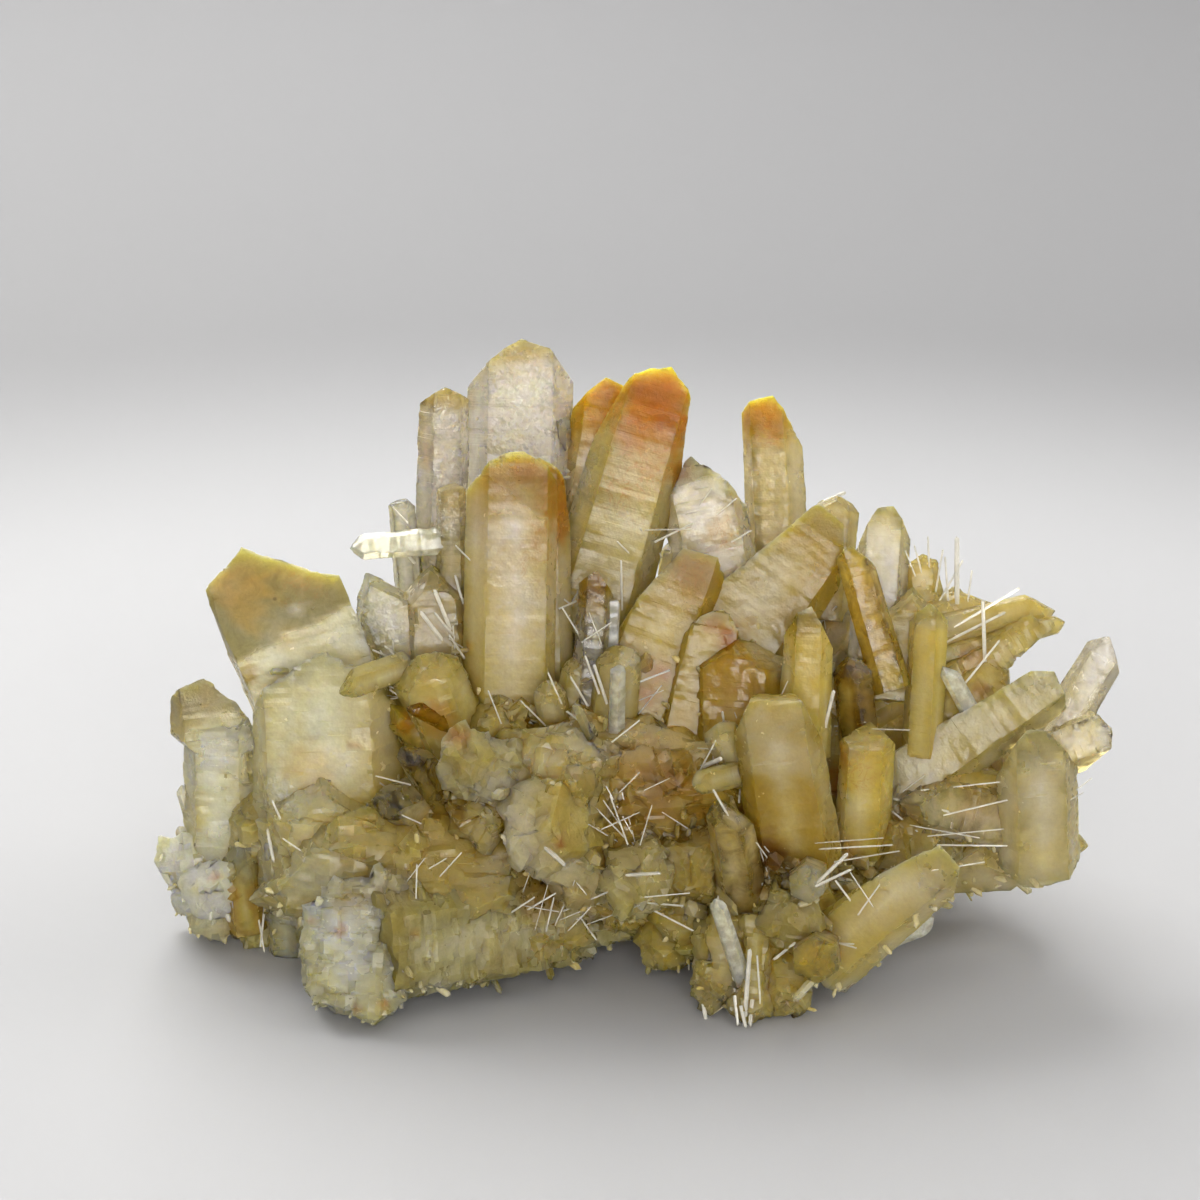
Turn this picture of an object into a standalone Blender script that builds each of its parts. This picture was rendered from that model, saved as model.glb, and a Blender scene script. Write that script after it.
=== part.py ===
"""Mango quartz cluster: radiating quartz crystals grown together in one piece.

The crystals are laid out as the cluster is seen from the front.  A picture
plane of 1200 x 1200 units stands 560 mm in front of the eye, which looks down
at 18 degrees; one unit there is PITCH across.  Each crystal is given by its
tip and its base in that picture, with their depth behind the middle of the
cluster in millimetres (minus is nearer), and by its width.  Every crystal is a
six-sided prism with a rhombohedral or a broken tip, cut from a block by flat
faces.  All are joined in one closed solid, which is cut flat where it rests.
"""
import math
import random

import bmesh
import bpy
from mathutils import Vector

# ------------------------------------------------------------------ dimensions
MM = 0.001                     # the layout below is in millimetres
PITCH = 0.14                   # one picture unit at the middle of the cluster
EYE_DISTANCE = 560.0           # eye to the aimed point
EYE_ELEVATION = math.radians(18.0)
AIM = Vector((-5.5, 0.0, 49.2))
CENTRE = Vector((-0.55, 4.53, 0.0))   # middle of the whole outline, moved to the origin
RHOMB = math.radians(38.2)     # slope of a quartz tip face from the axis
ROOT = 1.5                     # each crystal runs on this far into the mass
REST_DEPTH = 40.0              # depth of the block that cuts the feet flat
SEED = 4704

# --------------------------------------------------------------------- picture
_FWD = Vector((0.0, math.cos(EYE_ELEVATION), -math.sin(EYE_ELEVATION)))
_UP = Vector((0.0, math.sin(EYE_ELEVATION), math.cos(EYE_ELEVATION)))
_RIGHT = Vector((1.0, 0.0, 0.0))
EYE = AIM - _FWD * EYE_DISTANCE


def ray(u, v):
    """Direction from the eye through picture point (u, v)."""
    k = PITCH / EYE_DISTANCE
    return _FWD + _RIGHT * ((u - 600.0) * k) + _UP * ((600.0 - v) * k)


def seen(u, v, depth):
    """The point that is seen at (u, v), depth mm behind the middle."""
    d = ray(u, v)
    return EYE + d * ((depth - EYE.y) / d.y)


def on_plane(u, v, point, normal):
    """Where the sight line through (u, v) meets a plane."""
    d = ray(u, v)
    return EYE + d * ((point - EYE).dot(normal) / d.dot(normal))


# -------------------------------------------------------------------- crystals
# name, tip (u, v, depth), base (u, v, depth), width in units, thickness over
# width, roll in degrees, tip.  A tip is a word, or a list of straight edges of
# the outline (u1, v1, u2, v2, lean): each is a face through that edge, leaning
# towards the eye by so many degrees.
CRYSTALS = [
    # left: two broad blades and the small crystals at their foot
    ("edge_cap", (205, 676, -1), (217, 770, -2), 96, 0.75, 0, [
        (170, 696, 204, 677, 35), (204, 677, 253, 726, 30), (170, 690, 171, 735, 5), (171, 735, 192, 752, -15)]),
    ("edge_body", (220, 712, -3), (221, 905, -4), 74, 0.85, 8, "flat"),
    ("edge_spur", (180, 783, -3), (203, 852, -2), 15, 0.9, 0, "point"),
    ("edge_spur_low", (178, 824, -4), (196, 864, -3), 13, 0.9, 10, "point"),
    ("lump_left", (160, 874, -7), (240, 880, -3), 70, 1.0, 12, "point"),
    ("lump_foot", (212, 937, -6), (200, 846, -2), 84, 0.9, 5, [
        (170, 838, 190, 822, 20), (166, 842, 160, 874, 5), (161, 872, 176, 912, 10), (174, 908, 194, 932, 10),
        (190, 931, 216, 938, 10), (214, 938, 240, 926, 10)]),
    ("lump_face", (202, 900, -14), (230, 876, -2), 66, 0.9, 20, "blunt"),
    ("low_smooth", (233, 829, -11), (246, 917, -8), 44, 1.0, 0, "right"),
    ("low_plate", (284, 862, -14), (290, 942, -10), 40, 0.7, 15, "left"),
    ("low_chip", (270, 838, -15), (276, 890, -10), 16, 0.9, 0, "point"),
    ("low_back", (262, 800, -8), (266, 932, -4), 66, 0.8, 0, "flat"),
    ("blade", (272, 546, 1), (352, 838, -6), 176, 0.40, 0, [
        (238, 547, 340, 575, 46), (203, 597, 244, 545, 24), (337, 571, 372, 652, 12),
        (203, 596, 232, 662, -6), (229, 655, 262, 750, 0)]),
    ("blade_body", (322, 655, -7), (334, 872, -10), 150, 0.5, 8, [
        (250, 710, 322, 650, 35), (322, 650, 404, 712, 35)]),
    ("blade_foot", (322, 770, -14), (330, 905, -12), 118, 0.6, 0, "blunt"),
    ("blade_wing", (333, 690, -16), (398, 668, -8), 30, 0.5, 20, "left"),
    ("hex_clear", (371, 782, -22), (446, 818, -12), 60, 0.9, 10, "left"),
    ("smoky", (404, 738, -22), (474, 852, -12), 36, 1.0, 20, "left"),
    ("wing_low", (306, 872, -17), (372, 848, -10), 34, 0.7, 0, "point"),
    # front left: the broad broken foot
    ("foot", (364, 872, -22), (356, 1030, -33), 128, 0.75, 18, [
        (292, 916, 328, 883, 55), (324, 884, 424, 872, 60), (292, 912, 306, 984, 0), (303, 978, 314, 999, 5),
        (310, 995, 374, 1025, 5), (372, 1025, 406, 996, 5)]),
    ("foot_wing", (392, 940, -29), (600, 905, -12), 122, 0.7, 15, [
        (398, 1002, 492, 977, 0), (488, 978, 530, 965, 0), (400, 873, 530, 873, 55)]),
    ("foot_top", (372, 862, -24), (470, 866, -12), 80, 0.8, 0, "blunt"),
    ("foot_tail", (572, 976, -24), (560, 890, -12), 66, 0.9, 0, "blunt"),
    ("foot_tail_b", (536, 970, -26), (530, 900, -14), 50, 0.9, 15, "blunt"),
    # between the blade and the tall crystals
    ("left_point", (345, 548, -1), (480, 538, 2), 28, 0.8, 0, "point"),
    ("left_block", (401, 501, 5), (409, 580, 6), 28, 0.9, 12, "flat"),
    ("left_bright", (374, 578, 7), (402, 720, 4), 56, 0.8, 0, "left"),
    ("left_plate", (370, 552, 1), (452, 760, -5), 70, 0.6, 10, "left"),
    ("left_body", (430, 556, 0), (446, 780, -6), 72, 0.7, 0, "point"),
    ("yellow_dome", (418, 650, -10), (456, 742, -8), 74, 0.8, 12, "blunt"),
    ("yellow_side", (392, 694, -10), (452, 780, -8), 40, 0.7, 0, "left"),
    ("orange_blade", (404, 702, -14), (482, 742, -10), 18, 0.8, 0, "left"),
    ("mid_grey", (430, 748, -25), (560, 798, -12), 78, 0.8, 10, "point"),
    ("mid_grey_low", (452, 822, -24), (520, 800, -12), 72, 0.8, 0, "blunt"),
    ("mid_pale", (626, 732, -22), (540, 790, -12), 92, 0.7, 0, "right"),
    ("mid_pale_b", (606, 772, -26), (520, 770, -14), 84, 0.7, 15, "blunt"),
    ("mid_olive", (546, 676, -13), (560, 745, -10), 34, 0.8, 0, "point"),
    ("mid_fill", (500, 690, -10), (500, 790, -10), 104, 0.5, 0, "blunt"),
    # the tall group
    ("tall_left", (444, 387, 11), (440, 660, 7), 55, 0.9, -12, [
        (417, 404, 446, 386, 15), (444, 386, 478, 402, 15)]),
    ("tall_back", (521, 338, 21), (518, 660, 10), 112, 0.75, 0, [
        (459, 393, 504, 347, 12), (500, 349, 522, 337, 10), (520, 337, 550, 347, 12), (547, 344, 576, 385, 12)]),
    ("tall_front", (514, 450, -1), (509, 735, -5), 96, 0.78, -6, [
        (461, 497, 510, 450, 40), (506, 450, 524, 449.5, 50), (522, 449, 560, 486, 34)]),
    ("tall_front_b", (542, 456, 1), (546, 735, -3), 56, 0.95, 4, [
        (515, 470, 542, 456, 30), (538, 456, 566, 478, 30), (562, 466, 573, 545, 5)]),
    ("tall_step", (452, 486, 2), (454, 670, -1), 36, 0.9, 10, "flat"),
    ("olive_cap", (597, 570, -7), (590, 700, -9), 38, 0.9, 0, [
        (571, 588, 598, 569, 12), (597, 569, 611, 590, 10)]),
    ("gold_back", (610, 376, 18), (566, 640, 12), 66, 0.8, 0, [
        (570, 410, 606, 377, 15), (603, 376, 634, 392, 15)]),
    ("mango", (664, 365, 9), (590, 620, 4), 98, 0.72, 0, [
        (620, 385, 656, 364, 40), (650, 365, 674, 364.5, 48), (671, 364, 692, 398, 35),
        (691, 396, 686, 436, 6), (626, 380, 586, 452, 0), (590, 446, 564, 520, 0)]),
    ("plate_small", (613, 600, -8), (610, 668, -9), 15, 0.5, 0, "flat"),
    ("mid_glass", (622, 640, -13), (610, 740, -11), 48, 0.8, 15, "blunt"),
    ("mid_post", (618, 668, -19), (616, 740, -14), 17, 0.9, 20, "flat"),
    ("mango_foot", (590, 640, -8), (575, 720, -9), 46, 0.8, 0, "point"),
    # upper right
    ("grey_slope", (692, 455, 8), (735, 650, 2), 84, 0.6, 0, [
        (667, 506, 684, 462, 10), (680, 464, 692, 454, 25), (690, 454, 750, 510, 30)]),
    ("post", (770, 394, 17), (779, 580, 12), 62, 0.9, 8, [
        (738, 413, 775, 394, 36), (772, 393, 810, 458, 24)]),
    ("back_small", (838, 486, 20), (826, 610, 14), 48, 0.8, 0, "blunt"),
    ("broad_blade", (830, 503, 5), (706, 676, -3), 118, 0.5, 0, [
        (740, 566, 812, 506, 24), (800, 507, 824, 502, 22), (820, 502, 847, 524, 22), (844, 518, 840, 600, 8)]),
    ("brown_tip", (690, 545, 0), (634, 700, -7), 96, 0.6, 0, [
        (612, 640, 684, 545, 30), (680, 545, 724, 570, 40)]),
    ("round_back", (720, 607, -5), (690, 740, -10), 74, 0.7, 0, [
        (668, 652, 702, 614, 25), (698, 616, 728, 606, 25), (724, 605, 738, 630, 20)]),
    ("orange_notch", (742, 622, -8), (740, 745, -12), 96, 0.6, 10, "blunt"),
    ("grey_top", (810, 606, -12), (803, 745, -14), 52, 0.9, 0, [
        (779, 642, 797, 613, 15), (795, 614, 814, 605, 20), (811, 605, 834, 650, 15)]),
    ("yellow_prism", (850, 545, -3), (889, 680, -9), 38, 0.9, -8, [
        (836, 558, 852, 544, 15), (849, 544, 874, 565, 15)]),
    ("white_back", (886, 505, 10), (876, 650, 4), 54, 0.7, 0, [
        (856, 548, 878, 506, 15), (876, 507, 896, 505, 15), (893, 504, 911, 540, 15)]),
    ("spike_group", (920, 548, 9), (928, 640, 4), 36, 0.9, 0, "blunt"),
    ("spike_group_b", (950, 572, 7), (936, 660, 2), 44, 0.7, 10, "right"),
    ("ridge_right", (905, 568, 2), (894, 690, -4), 66, 0.6, 0, "right"),
    ("milky_post", (930, 602, -6), (922, 745, -9), 40, 0.9, 12, [
        (910, 620, 932, 601, 20), (928, 601, 951, 622, 20)]),
    ("fan_top", (1010, 594, 6), (900, 640, 1), 50, 0.6, 0, "right"),
    ("fan_long", (1064, 602, 4), (920, 636, 0), 34, 0.7, 10, "right"),
    ("fan_low", (1068, 621, 2), (930, 660, -2), 20, 0.8, 0, "point"),
    ("fan_wide", (1046, 634, 1), (930, 706, -4), 62, 0.5, 0, [
        (1056, 626, 1010, 666, 10), (1000, 614, 1060, 624, 10)]),
    ("fan_end", (1016, 668, -2), (930, 720, -6), 50, 0.6, 10, "blunt"),
    ("clear_lean", (943, 661, -9), (988, 745, -9), 20, 0.9, 0, "left"),
    ("olive_small", (850, 650, -11), (858, 730, -10), 40, 0.9, 20, "point"),
    ("right_big", (1054, 671, -7), (900, 778, -8), 82, 0.7, 0, [
        (960, 712, 1032, 670, 18), (1026, 671, 1058, 670, 20), (1054, 669, 1070, 715, 15)]),
    ("right_glass", (1113, 641, -5), (1050, 744, -6), 46, 0.8, 0, [
        (1076, 643, 1112, 635, 12), (1110, 635, 1119, 668, 12)]),
    ("right_stub", (1112, 728, -8), (1050, 752, -8), 60, 0.8, 0, [
        (1046, 732, 1092, 708, 20), (1090, 709, 1113, 730, 15), (1113, 728, 1110, 752, 10), (1112, 748, 1082, 774, 10)]),
    ("right_front", (1036, 728, -12), (1040, 888, -10), 82, 0.8, -8, [
        (997, 776, 1026, 730, 28), (1022, 729, 1048, 729, 35), (1044, 728, 1080, 768, 28),
        (1002, 868, 1022, 886, 10), (1020, 887, 1046, 887, 10), (1044, 888, 1092, 858, 10)]),
    ("right_chip", (1094, 847, -8), (1040, 842, -8), 34, 0.8, 0, "point"),
    ("right_under", (972, 862, -4), (940, 840, -2), 80, 0.7, 0, "blunt"),
    # lower right and centre
    ("big_centre", (772, 700, -22), (796, 856, -20), 90, 0.7, 0, [
        (736, 730, 750, 700, 15), (744, 700, 806, 700, 18), (802, 699, 832, 760, 12)]),
    ("yellow_pale", (868, 733, -17), (862, 842, -15), 56, 0.8, 0, "flat"),
    ("bundle", (890, 792, -16), (1015, 822, -8), 62, 0.6, 0, "left"),
    ("bundle_top", (926, 778, -13), (1012, 790, -7), 34, 0.5, 0, "left"),
    ("front_lean", (948, 848, -31), (826, 952, -24), 84, 0.7, 0, [
        (905, 860, 942, 841, 35), (938, 841, 962, 868, 38), (961, 866, 954, 896, 20), (830, 992, 792, 970, 5)]),
    ("lean_spur", (938, 917, -27), (866, 944, -24), 28, 0.7, 0, "point"),
    ("end_on_top", (806, 886, -36), (812, 872, -18), 42, 1.0, 0, "blunt"),
    ("end_on_low", (815, 963, -40), (820, 942, -22), 50, 1.0, 12, "blunt"),
    ("grey_knob", (786, 926, -34), (790, 906, -18), 66, 1.0, 0, "blunt"),
    ("clear_tan", (724, 789, -30), (744, 902, -24), 48, 0.8, 10, "left"),
    ("clear_post", (715, 897, -36), (746, 990, -32), 18, 0.9, 15, "point"),
    ("base_knob", (716, 1022, -34), (728, 930, -26), 66, 0.9, 0, "blunt"),
    ("base_knob_mid", (748, 1030, -35), (752, 930, -28), 44, 0.9, 10, "blunt"),
    ("base_knob_right", (788, 1024, -34), (780, 930, -24), 62, 0.9, 15, "blunt"),
    ("rough_pale", (504, 832, -30), (606, 812, -14), 102, 0.8, 0, "blunt"),
    ("rough_pale_low", (548, 884, -29), (600, 840, -14), 84, 0.8, 10, "blunt"),
    ("grey_lump", (632, 866, -30), (644, 900, -14), 80, 0.9, 0, "blunt"),
    ("tan_lump", (688, 846, -27), (700, 900, -14), 100, 0.8, 10, "blunt"),
    ("brown_mass", (664, 738, -19), (680, 820, -12), 106, 0.8, 0, "blunt"),
    ("brown_mass_b", (636, 770, -20), (640, 850, -12), 90, 0.8, 15, "blunt"),
    ("side_chip", (690, 786, -27), (744, 772, -20), 26, 0.6, 0, "point"),
    ("side_facet", (712, 720, -20), (744, 770, -18), 38, 0.7, 0, "blunt"),
    ("under_knob", (664, 978, -24), (672, 900, -14), 52, 0.9, 0, "blunt"),
    ("under_knob_b", (612, 940, -22), (620, 880, -12), 60, 0.9, 0, "blunt"),
    ("lower_right", (880, 880, -20), (900, 830, -8), 120, 0.8, 0, "blunt"),
]


def seeded(name):
    return random.Random(sum((i + 3) * ord(c) for i, c in enumerate(name)) + SEED)


def axes(tip, base):
    """Axis, across and towards-the-eye directions of a crystal."""
    axis = (tip - base).normalized()
    sight = ((tip + base) * 0.5 - EYE).normalized()
    across = axis.cross(sight).normalized()
    return axis, across, across.cross(axis).normalized()


def prism_faces(rng, half_w, half_t, roll):
    """Six (angle, distance) pairs whose hexagon is 2*half_w across."""
    out = []
    for k in range(6):
        a = math.radians(roll + 30 + 60 * k)
        d = math.hypot(half_w * math.cos(a), half_t * math.sin(a))
        out.append([a, d * rng.uniform(0.90, 1.04)])
    ext = []
    for i in range(6):
        (a, d), (b, e) = out[i], out[(i + 1) % 6]
        det = math.sin(b - a)
        ext.append((d * math.sin(b) - e * math.sin(a)) / det)
    mid = (max(ext) + min(ext)) / 2
    k = 2 * half_w / (max(ext) - min(ext))
    return [(a, d * k - mid * k * math.cos(a)) for a, d in out]


def side_depth(faces, x, back):
    """How far the prism reaches behind (or before) its axis, x to the side of it."""
    reach = []
    for a, d in faces:
        s = -math.sin(a) if back else math.sin(a)
        if s > 1e-3:
            reach.append((d - x * math.cos(a)) / s)
    return max(0.0, min(reach))


def outline_point(u, v, mid, near, across, faces, lean):
    """Outline point on the side of the prism that a leaning face leaves last."""
    p = on_plane(u, v, mid, near)
    depth = side_depth(faces, (p - mid).dot(across), lean > 0)
    return on_plane(u, v, mid - near * (depth if lean > 0 else -depth), near)


def crystal_planes(name, tip, base, width, ratio, roll, style):
    """Planes (point, outward normal) of one crystal, in millimetres."""
    rng = seeded(name)
    top, foot = seen(*tip), seen(*base)
    axis, across, near = axes(top, foot)
    length = (top - foot).length
    mid = (top + foot) * 0.5
    scale = PITCH * (mid - EYE).dot(_FWD) / EYE_DISTANCE
    half_w = width * scale / 2
    half_t = half_w * ratio
    faces = prism_faces(rng, half_w, half_t, roll)
    taper = math.radians(rng.uniform(0.3, 1.6))
    planes = []
    for a, d in faces:
        out = across * math.cos(a) + near * math.sin(a)
        n = (out * math.cos(taper) + axis * math.sin(taper)).normalized()
        planes.append((mid + out * d, n))
    if isinstance(style, list):
        for u1, v1, u2, v2, lean in style:
            p = outline_point(u1, v1, mid, near, across, faces, lean)
            q = outline_point(u2, v2, mid, near, across, faces, lean)
            edge = (q - p).normalized()
            n = edge.cross(near).normalized()
            if n.dot(p - (mid - axis * length * 0.2)) < 0:
                n = -n
            towards = near - edge * near.dot(edge)
            t = math.radians(lean)
            planes.append(((p + q) * 0.5, (n * math.cos(t) + towards.normalized() * math.sin(t)).normalized()))
        planes.append((top + axis * half_w * 0.3, axis.copy()))
    else:
        radius = (half_w + half_t) / 2
        lead = {"left": math.pi, "right": 0.0, "near": math.pi / 2}.get(style)
        drops = []
        for k, (a, d) in enumerate(faces):
            drop = rng.uniform(0.0, 0.25) * radius + (0.25 * radius if k % 2 else 0.0)
            if lead is not None:
                # one or two faces on the led side take most of the tip
                drop += radius * 1.1 * max(0.0, math.cos(a - lead)) ** 2
            drops.append(drop)
        least = min(drops)
        if style == "flat":
            tilt = rng.uniform(0, 2 * math.pi)
            n = (axis + (across * math.cos(tilt) + near * math.sin(tilt)) * 0.22).normalized()
            planes.append((top, n))
            for a, d in faces[::2]:
                out = across * math.cos(a) + near * math.sin(a)
                planes.append((top + out * d * 0.55, (out + axis * 0.9).normalized()))
        else:
            slope = RHOMB if style != "blunt" else math.radians(52)
            for (a, d), drop in zip(faces, drops):
                out = across * math.cos(a) + near * math.sin(a)
                n = (out * math.cos(slope) + axis * math.sin(slope)).normalized()
                planes.append((top - axis * (drop - least), n))
            if style == "blunt":
                planes.append((top - axis * radius * 0.18, (axis + near * 0.2).normalized()))
    planes.append((foot - axis * ROOT, -axis))
    return planes, (mid, axis, across, near, length, half_w, half_t)


# ---------------------------------------------------------------------- shapes
def block(planes, centre, reach):
    """Closed convex solid left of a cube when every plane has cut it."""
    bm = bmesh.new()
    bmesh.ops.create_cube(bm, size=2 * reach)
    bmesh.ops.translate(bm, vec=centre, verts=bm.verts[:])
    for co, no in planes:
        geom = bm.verts[:] + bm.edges[:] + bm.faces[:]
        cut = bmesh.ops.bisect_plane(bm, geom=geom, dist=1e-5, plane_co=co, plane_no=no, clear_outer=True)
        rim = [e for e in cut["geom_cut"] if isinstance(e, bmesh.types.BMEdge)]
        if len(rim) > 2:
            bmesh.ops.contextual_create(bm, geom=rim)
    bmesh.ops.recalc_face_normals(bm, faces=bm.faces[:])
    return bm


def lump(rng, centre, radii, count):
    """A convex knob of grown-together quartz with irregular faces."""
    planes = []
    golden = math.pi * (3 - math.sqrt(5))
    for i in range(count):
        z = 1 - 2 * (i + 0.5) / count
        r = math.sqrt(1 - z * z)
        a = golden * i + rng.uniform(-0.25, 0.25)
        n = Vector((r * math.cos(a) / radii[0], r * math.sin(a) / radii[1], z / radii[2]))
        # the support distance of the ellipsoid along this normal
        n.normalize()
        d = math.sqrt(sum((n[k] * radii[k]) ** 2 for k in range(3))) * rng.uniform(0.86, 1.0)
        planes.append((centre + n * d, n))
    return block(planes, centre, max(radii) * 2)


# the grown-together middle: centre, radii, number of faces
MIDDLE = [
    ((2, 8, 20), (42, 23, 19), 26),
    ((-29, 3, 17), (22, 17, 14), 20),
    ((31, 5, 18), (22, 16, 13), 20),
    ((0, -8, 22), (24, 14, 15), 18),
    ((-30, -14, 13), (20, 13, 12), 16),
    ((16, -16, 11), (14, 12, 12), 16),
    ((2, 12, 34), (30, 14, 12), 18),
]

# feet hidden behind and below, which carry the back of the cluster
FEET = [
    ((-29, 22, 6), (11, 9, 9), 14),
    ((32, 22, 6), (12, 9, 9), 14),
    ((3, 27, 6), (10, 8, 8), 14),
]

# the back, which the front view hides: crystals spread over it in rows
BACK_ROWS = [
    # count, first and last bearing (0 is +X, 90 is straight back), foot height, rise, length, width
    (11, -16.0, 196.0, 9.0, 6.0, 27.0, 10.5),
    (10, -6.0, 186.0, 17.0, 22.0, 31.0, 11.5),
    (8, 14.0, 166.0, 25.0, 40.0, 33.0, 12.0),
    (7, 20.0, 162.0, 31.0, 56.0, 32.0, 11.0),
    (6, 18.0, 160.0, 35.0, 72.0, 31.0, 10.0),
]
BACK_CENTRE = Vector((1.0, 7.0, 0.0))
BACK_SPREAD = ((33.0, 13.0), (32.0, 13.0), (28.0, 12.0), (25.0, 10.0), (19.0, 7.0))
# the two flanks: tip, foot and width in millimetres
FLANKS = [
    ((57, 3, 21), (33, 4, 17), 12.0),
    ((55, 15, 31), (32, 9, 21), 11.0),
    ((52, 10, 12), (31, 8, 13), 10.5),
    ((49, -7, 17), (30, -3, 16), 10.0),
    ((47, 1, 35), (30, 4, 22), 10.5),
    ((51, 21, 20), (31, 13, 16), 9.5),
    ((44, -13, 25), (27, -6, 18), 9.0),
    ((-57, 10, 25), (-34, 6, 18), 11.0),
    ((-56, 18, 15), (-34, 9, 13), 10.5),
    ((-59, 5, 12), (-38, 4, 12), 10.0),
    ((-51, 22, 28), (-31, 10, 19), 10.5),
    ((-52, 3, 33), (-36, 2, 20), 9.5),
    ((-48, 16, 7), (-31, 9, 10), 9.0),
]
# what the front view shows free of crystals starts above this line (u, v)
SKYLINE = [
    (150, 900), (172, 770), (215, 715), (250, 680), (262, 610), (340, 610), (372, 640), (400, 580), (420, 500),
    (445, 420), (470, 400), (520, 380), (600, 410), (680, 440), (700, 500), (745, 530), (800, 520), (850, 540),
    (900, 560), (960, 610), (1010, 620), (1040, 690), (1105, 730), (1125, 800)]


def skyline(u):
    if u <= SKYLINE[0][0] or u >= SKYLINE[-1][0]:
        return 900.0
    for (a, p), (b, q) in zip(SKYLINE, SKYLINE[1:]):
        if a <= u <= b:
            return p + (q - p) * (u - a) / (b - a)


def picture(p):
    """Where a point is seen: (u, v)."""
    d = p - EYE
    k = EYE_DISTANCE / PITCH / d.dot(_FWD)
    return 600 + d.dot(_RIGHT) * k, 600 - d.dot(_UP) * k


def back_crystals():
    rng = random.Random(SEED + 7)
    out = []
    for row, (count, first, last, height, rise, length, width) in enumerate(BACK_ROWS):
        for i in range(count):
            bearing = math.radians(first + (last - first) * (i + 0.5) / count + rng.uniform(-7, 7))
            lift = math.radians(rise + rng.uniform(-9, 9))
            foot = BACK_CENTRE + Vector((
                math.cos(bearing) * BACK_SPREAD[row][0], math.sin(bearing) * BACK_SPREAD[row][1],
                height + rng.uniform(-2, 2)))
            aim = Vector((math.cos(bearing) * math.cos(lift), math.sin(bearing) * math.cos(lift), math.sin(lift)))
            reach = length * rng.uniform(0.78, 1.12)
            size = width * rng.uniform(0.65, 1.15)
            while reach > 10.0:
                u, v = picture(foot + aim * (reach + 1.5))
                if v > skyline(u) + size * 1.5:
                    break
                reach -= 1.0
            tip = foot + aim * reach
            tip.z = max(tip.z, 5.0)
            out.append(("back_%d_%d" % (row, i), tip, foot, size, rng.uniform(0.7, 1.0), rng.uniform(0, 60)))
    return out


def flank_crystals():
    rng = random.Random(SEED + 9)
    return [("flank_%d" % i, Vector(tip), Vector(foot), width, rng.uniform(0.7, 1.0), rng.uniform(0, 60))
            for i, (tip, foot, width) in enumerate(FLANKS)]


def free_planes(name, top, foot, width, ratio, roll):
    """Planes of a crystal given by its ends, with an ordinary quartz tip."""
    rng = seeded(name)
    axis = (top - foot).normalized()
    across = axis.cross(Vector((0.3, 0.2, 1.0))).normalized()
    near = across.cross(axis).normalized()
    mid = (top + foot) * 0.5
    half_w, half_t = width / 2, width * ratio / 2
    radius = (half_w + half_t) / 2
    faces = prism_faces(rng, half_w, half_t, roll)
    planes, drops = [], []
    for k, (a, d) in enumerate(faces):
        out = across * math.cos(a) + near * math.sin(a)
        n = (out + axis * math.tan(math.radians(rng.uniform(0.3, 1.8)))).normalized()
        planes.append((mid + out * d, n))
        drops.append(rng.uniform(0, 0.7) * radius + (0.3 * radius if k % 2 else 0.0))
    for (a, d), drop in zip(faces, drops):
        out = across * math.cos(a) + near * math.sin(a)
        planes.append((top - axis * (drop - min(drops)), (out * math.cos(RHOMB) + axis * math.sin(RHOMB)).normalized()))
    planes.append((foot - axis * ROOT, -axis))
    return planes, (mid, axis, across, near, (top - foot).length, half_w, half_t)


# --------------------------------------------------------------------- objects
def finish():
    mat = bpy.data.materials.new("mango_quartz")
    mat.use_nodes = True
    shader = mat.node_tree.nodes["Principled BSDF"]
    shader.inputs["Base Color"].default_value = (0.62, 0.50, 0.25, 1.0)
    shader.inputs["Roughness"].default_value = 0.22
    shader.inputs["Metallic"].default_value = 0.0
    mat.diffuse_color = (0.62, 0.50, 0.25, 1.0)
    return mat


def make_object(name, bm, collection):
    mesh = bpy.data.meshes.new(name)
    bmesh.ops.translate(bm, vec=-CENTRE, verts=bm.verts[:])
    bmesh.ops.scale(bm, vec=(MM, MM, MM), verts=bm.verts[:])
    bm.to_mesh(mesh)
    bm.free()
    obj = bpy.data.objects.new(name, mesh)
    collection.objects.link(obj)
    return obj


def bodies():
    """Every convex body of the cluster as (name, bmesh in mm)."""
    out = []
    for row in CRYSTALS:
        planes, frame = crystal_planes(*row)
        out.append((row[0], block(planes, frame[0], frame[4] + 30.0)))
    for name, top, foot, width, ratio, roll in back_crystals() + flank_crystals():
        planes, frame = free_planes(name, top, foot, width, ratio, roll)
        out.append((name, block(planes, frame[0], frame[4] + 30.0)))
    rng = random.Random(SEED + 1)
    for group, rows in (("middle", MIDDLE), ("rest_foot", FEET)):
        for i, (c, r, n) in enumerate(rows):
            out.append(("%s_%d" % (group, i), lump(rng, Vector(c), r, n)))
    return out


def outer_shell(mesh):
    """Drop any closed shell that lies inside the body, so no hollow is sealed in."""
    bm = bmesh.new()
    bm.from_mesh(mesh)
    left = set(bm.faces)
    shells = []
    while left:
        stack = [left.pop()]
        shell = list(stack)
        while stack:
            for e in stack.pop().edges:
                for f in e.link_faces:
                    if f in left:
                        left.remove(f)
                        stack.append(f)
                        shell.append(f)
        shells.append(shell)
    shells.sort(key=lambda s: -sum(f.calc_area() for f in s))
    for shell in shells[1:]:
        bmesh.ops.delete(bm, geom=list(shell), context="FACES")
    loose = [v for v in bm.verts if not v.link_faces]
    bmesh.ops.delete(bm, geom=loose, context="VERTS")
    bm.to_mesh(mesh)
    bm.free()
    return len(shells)


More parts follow.
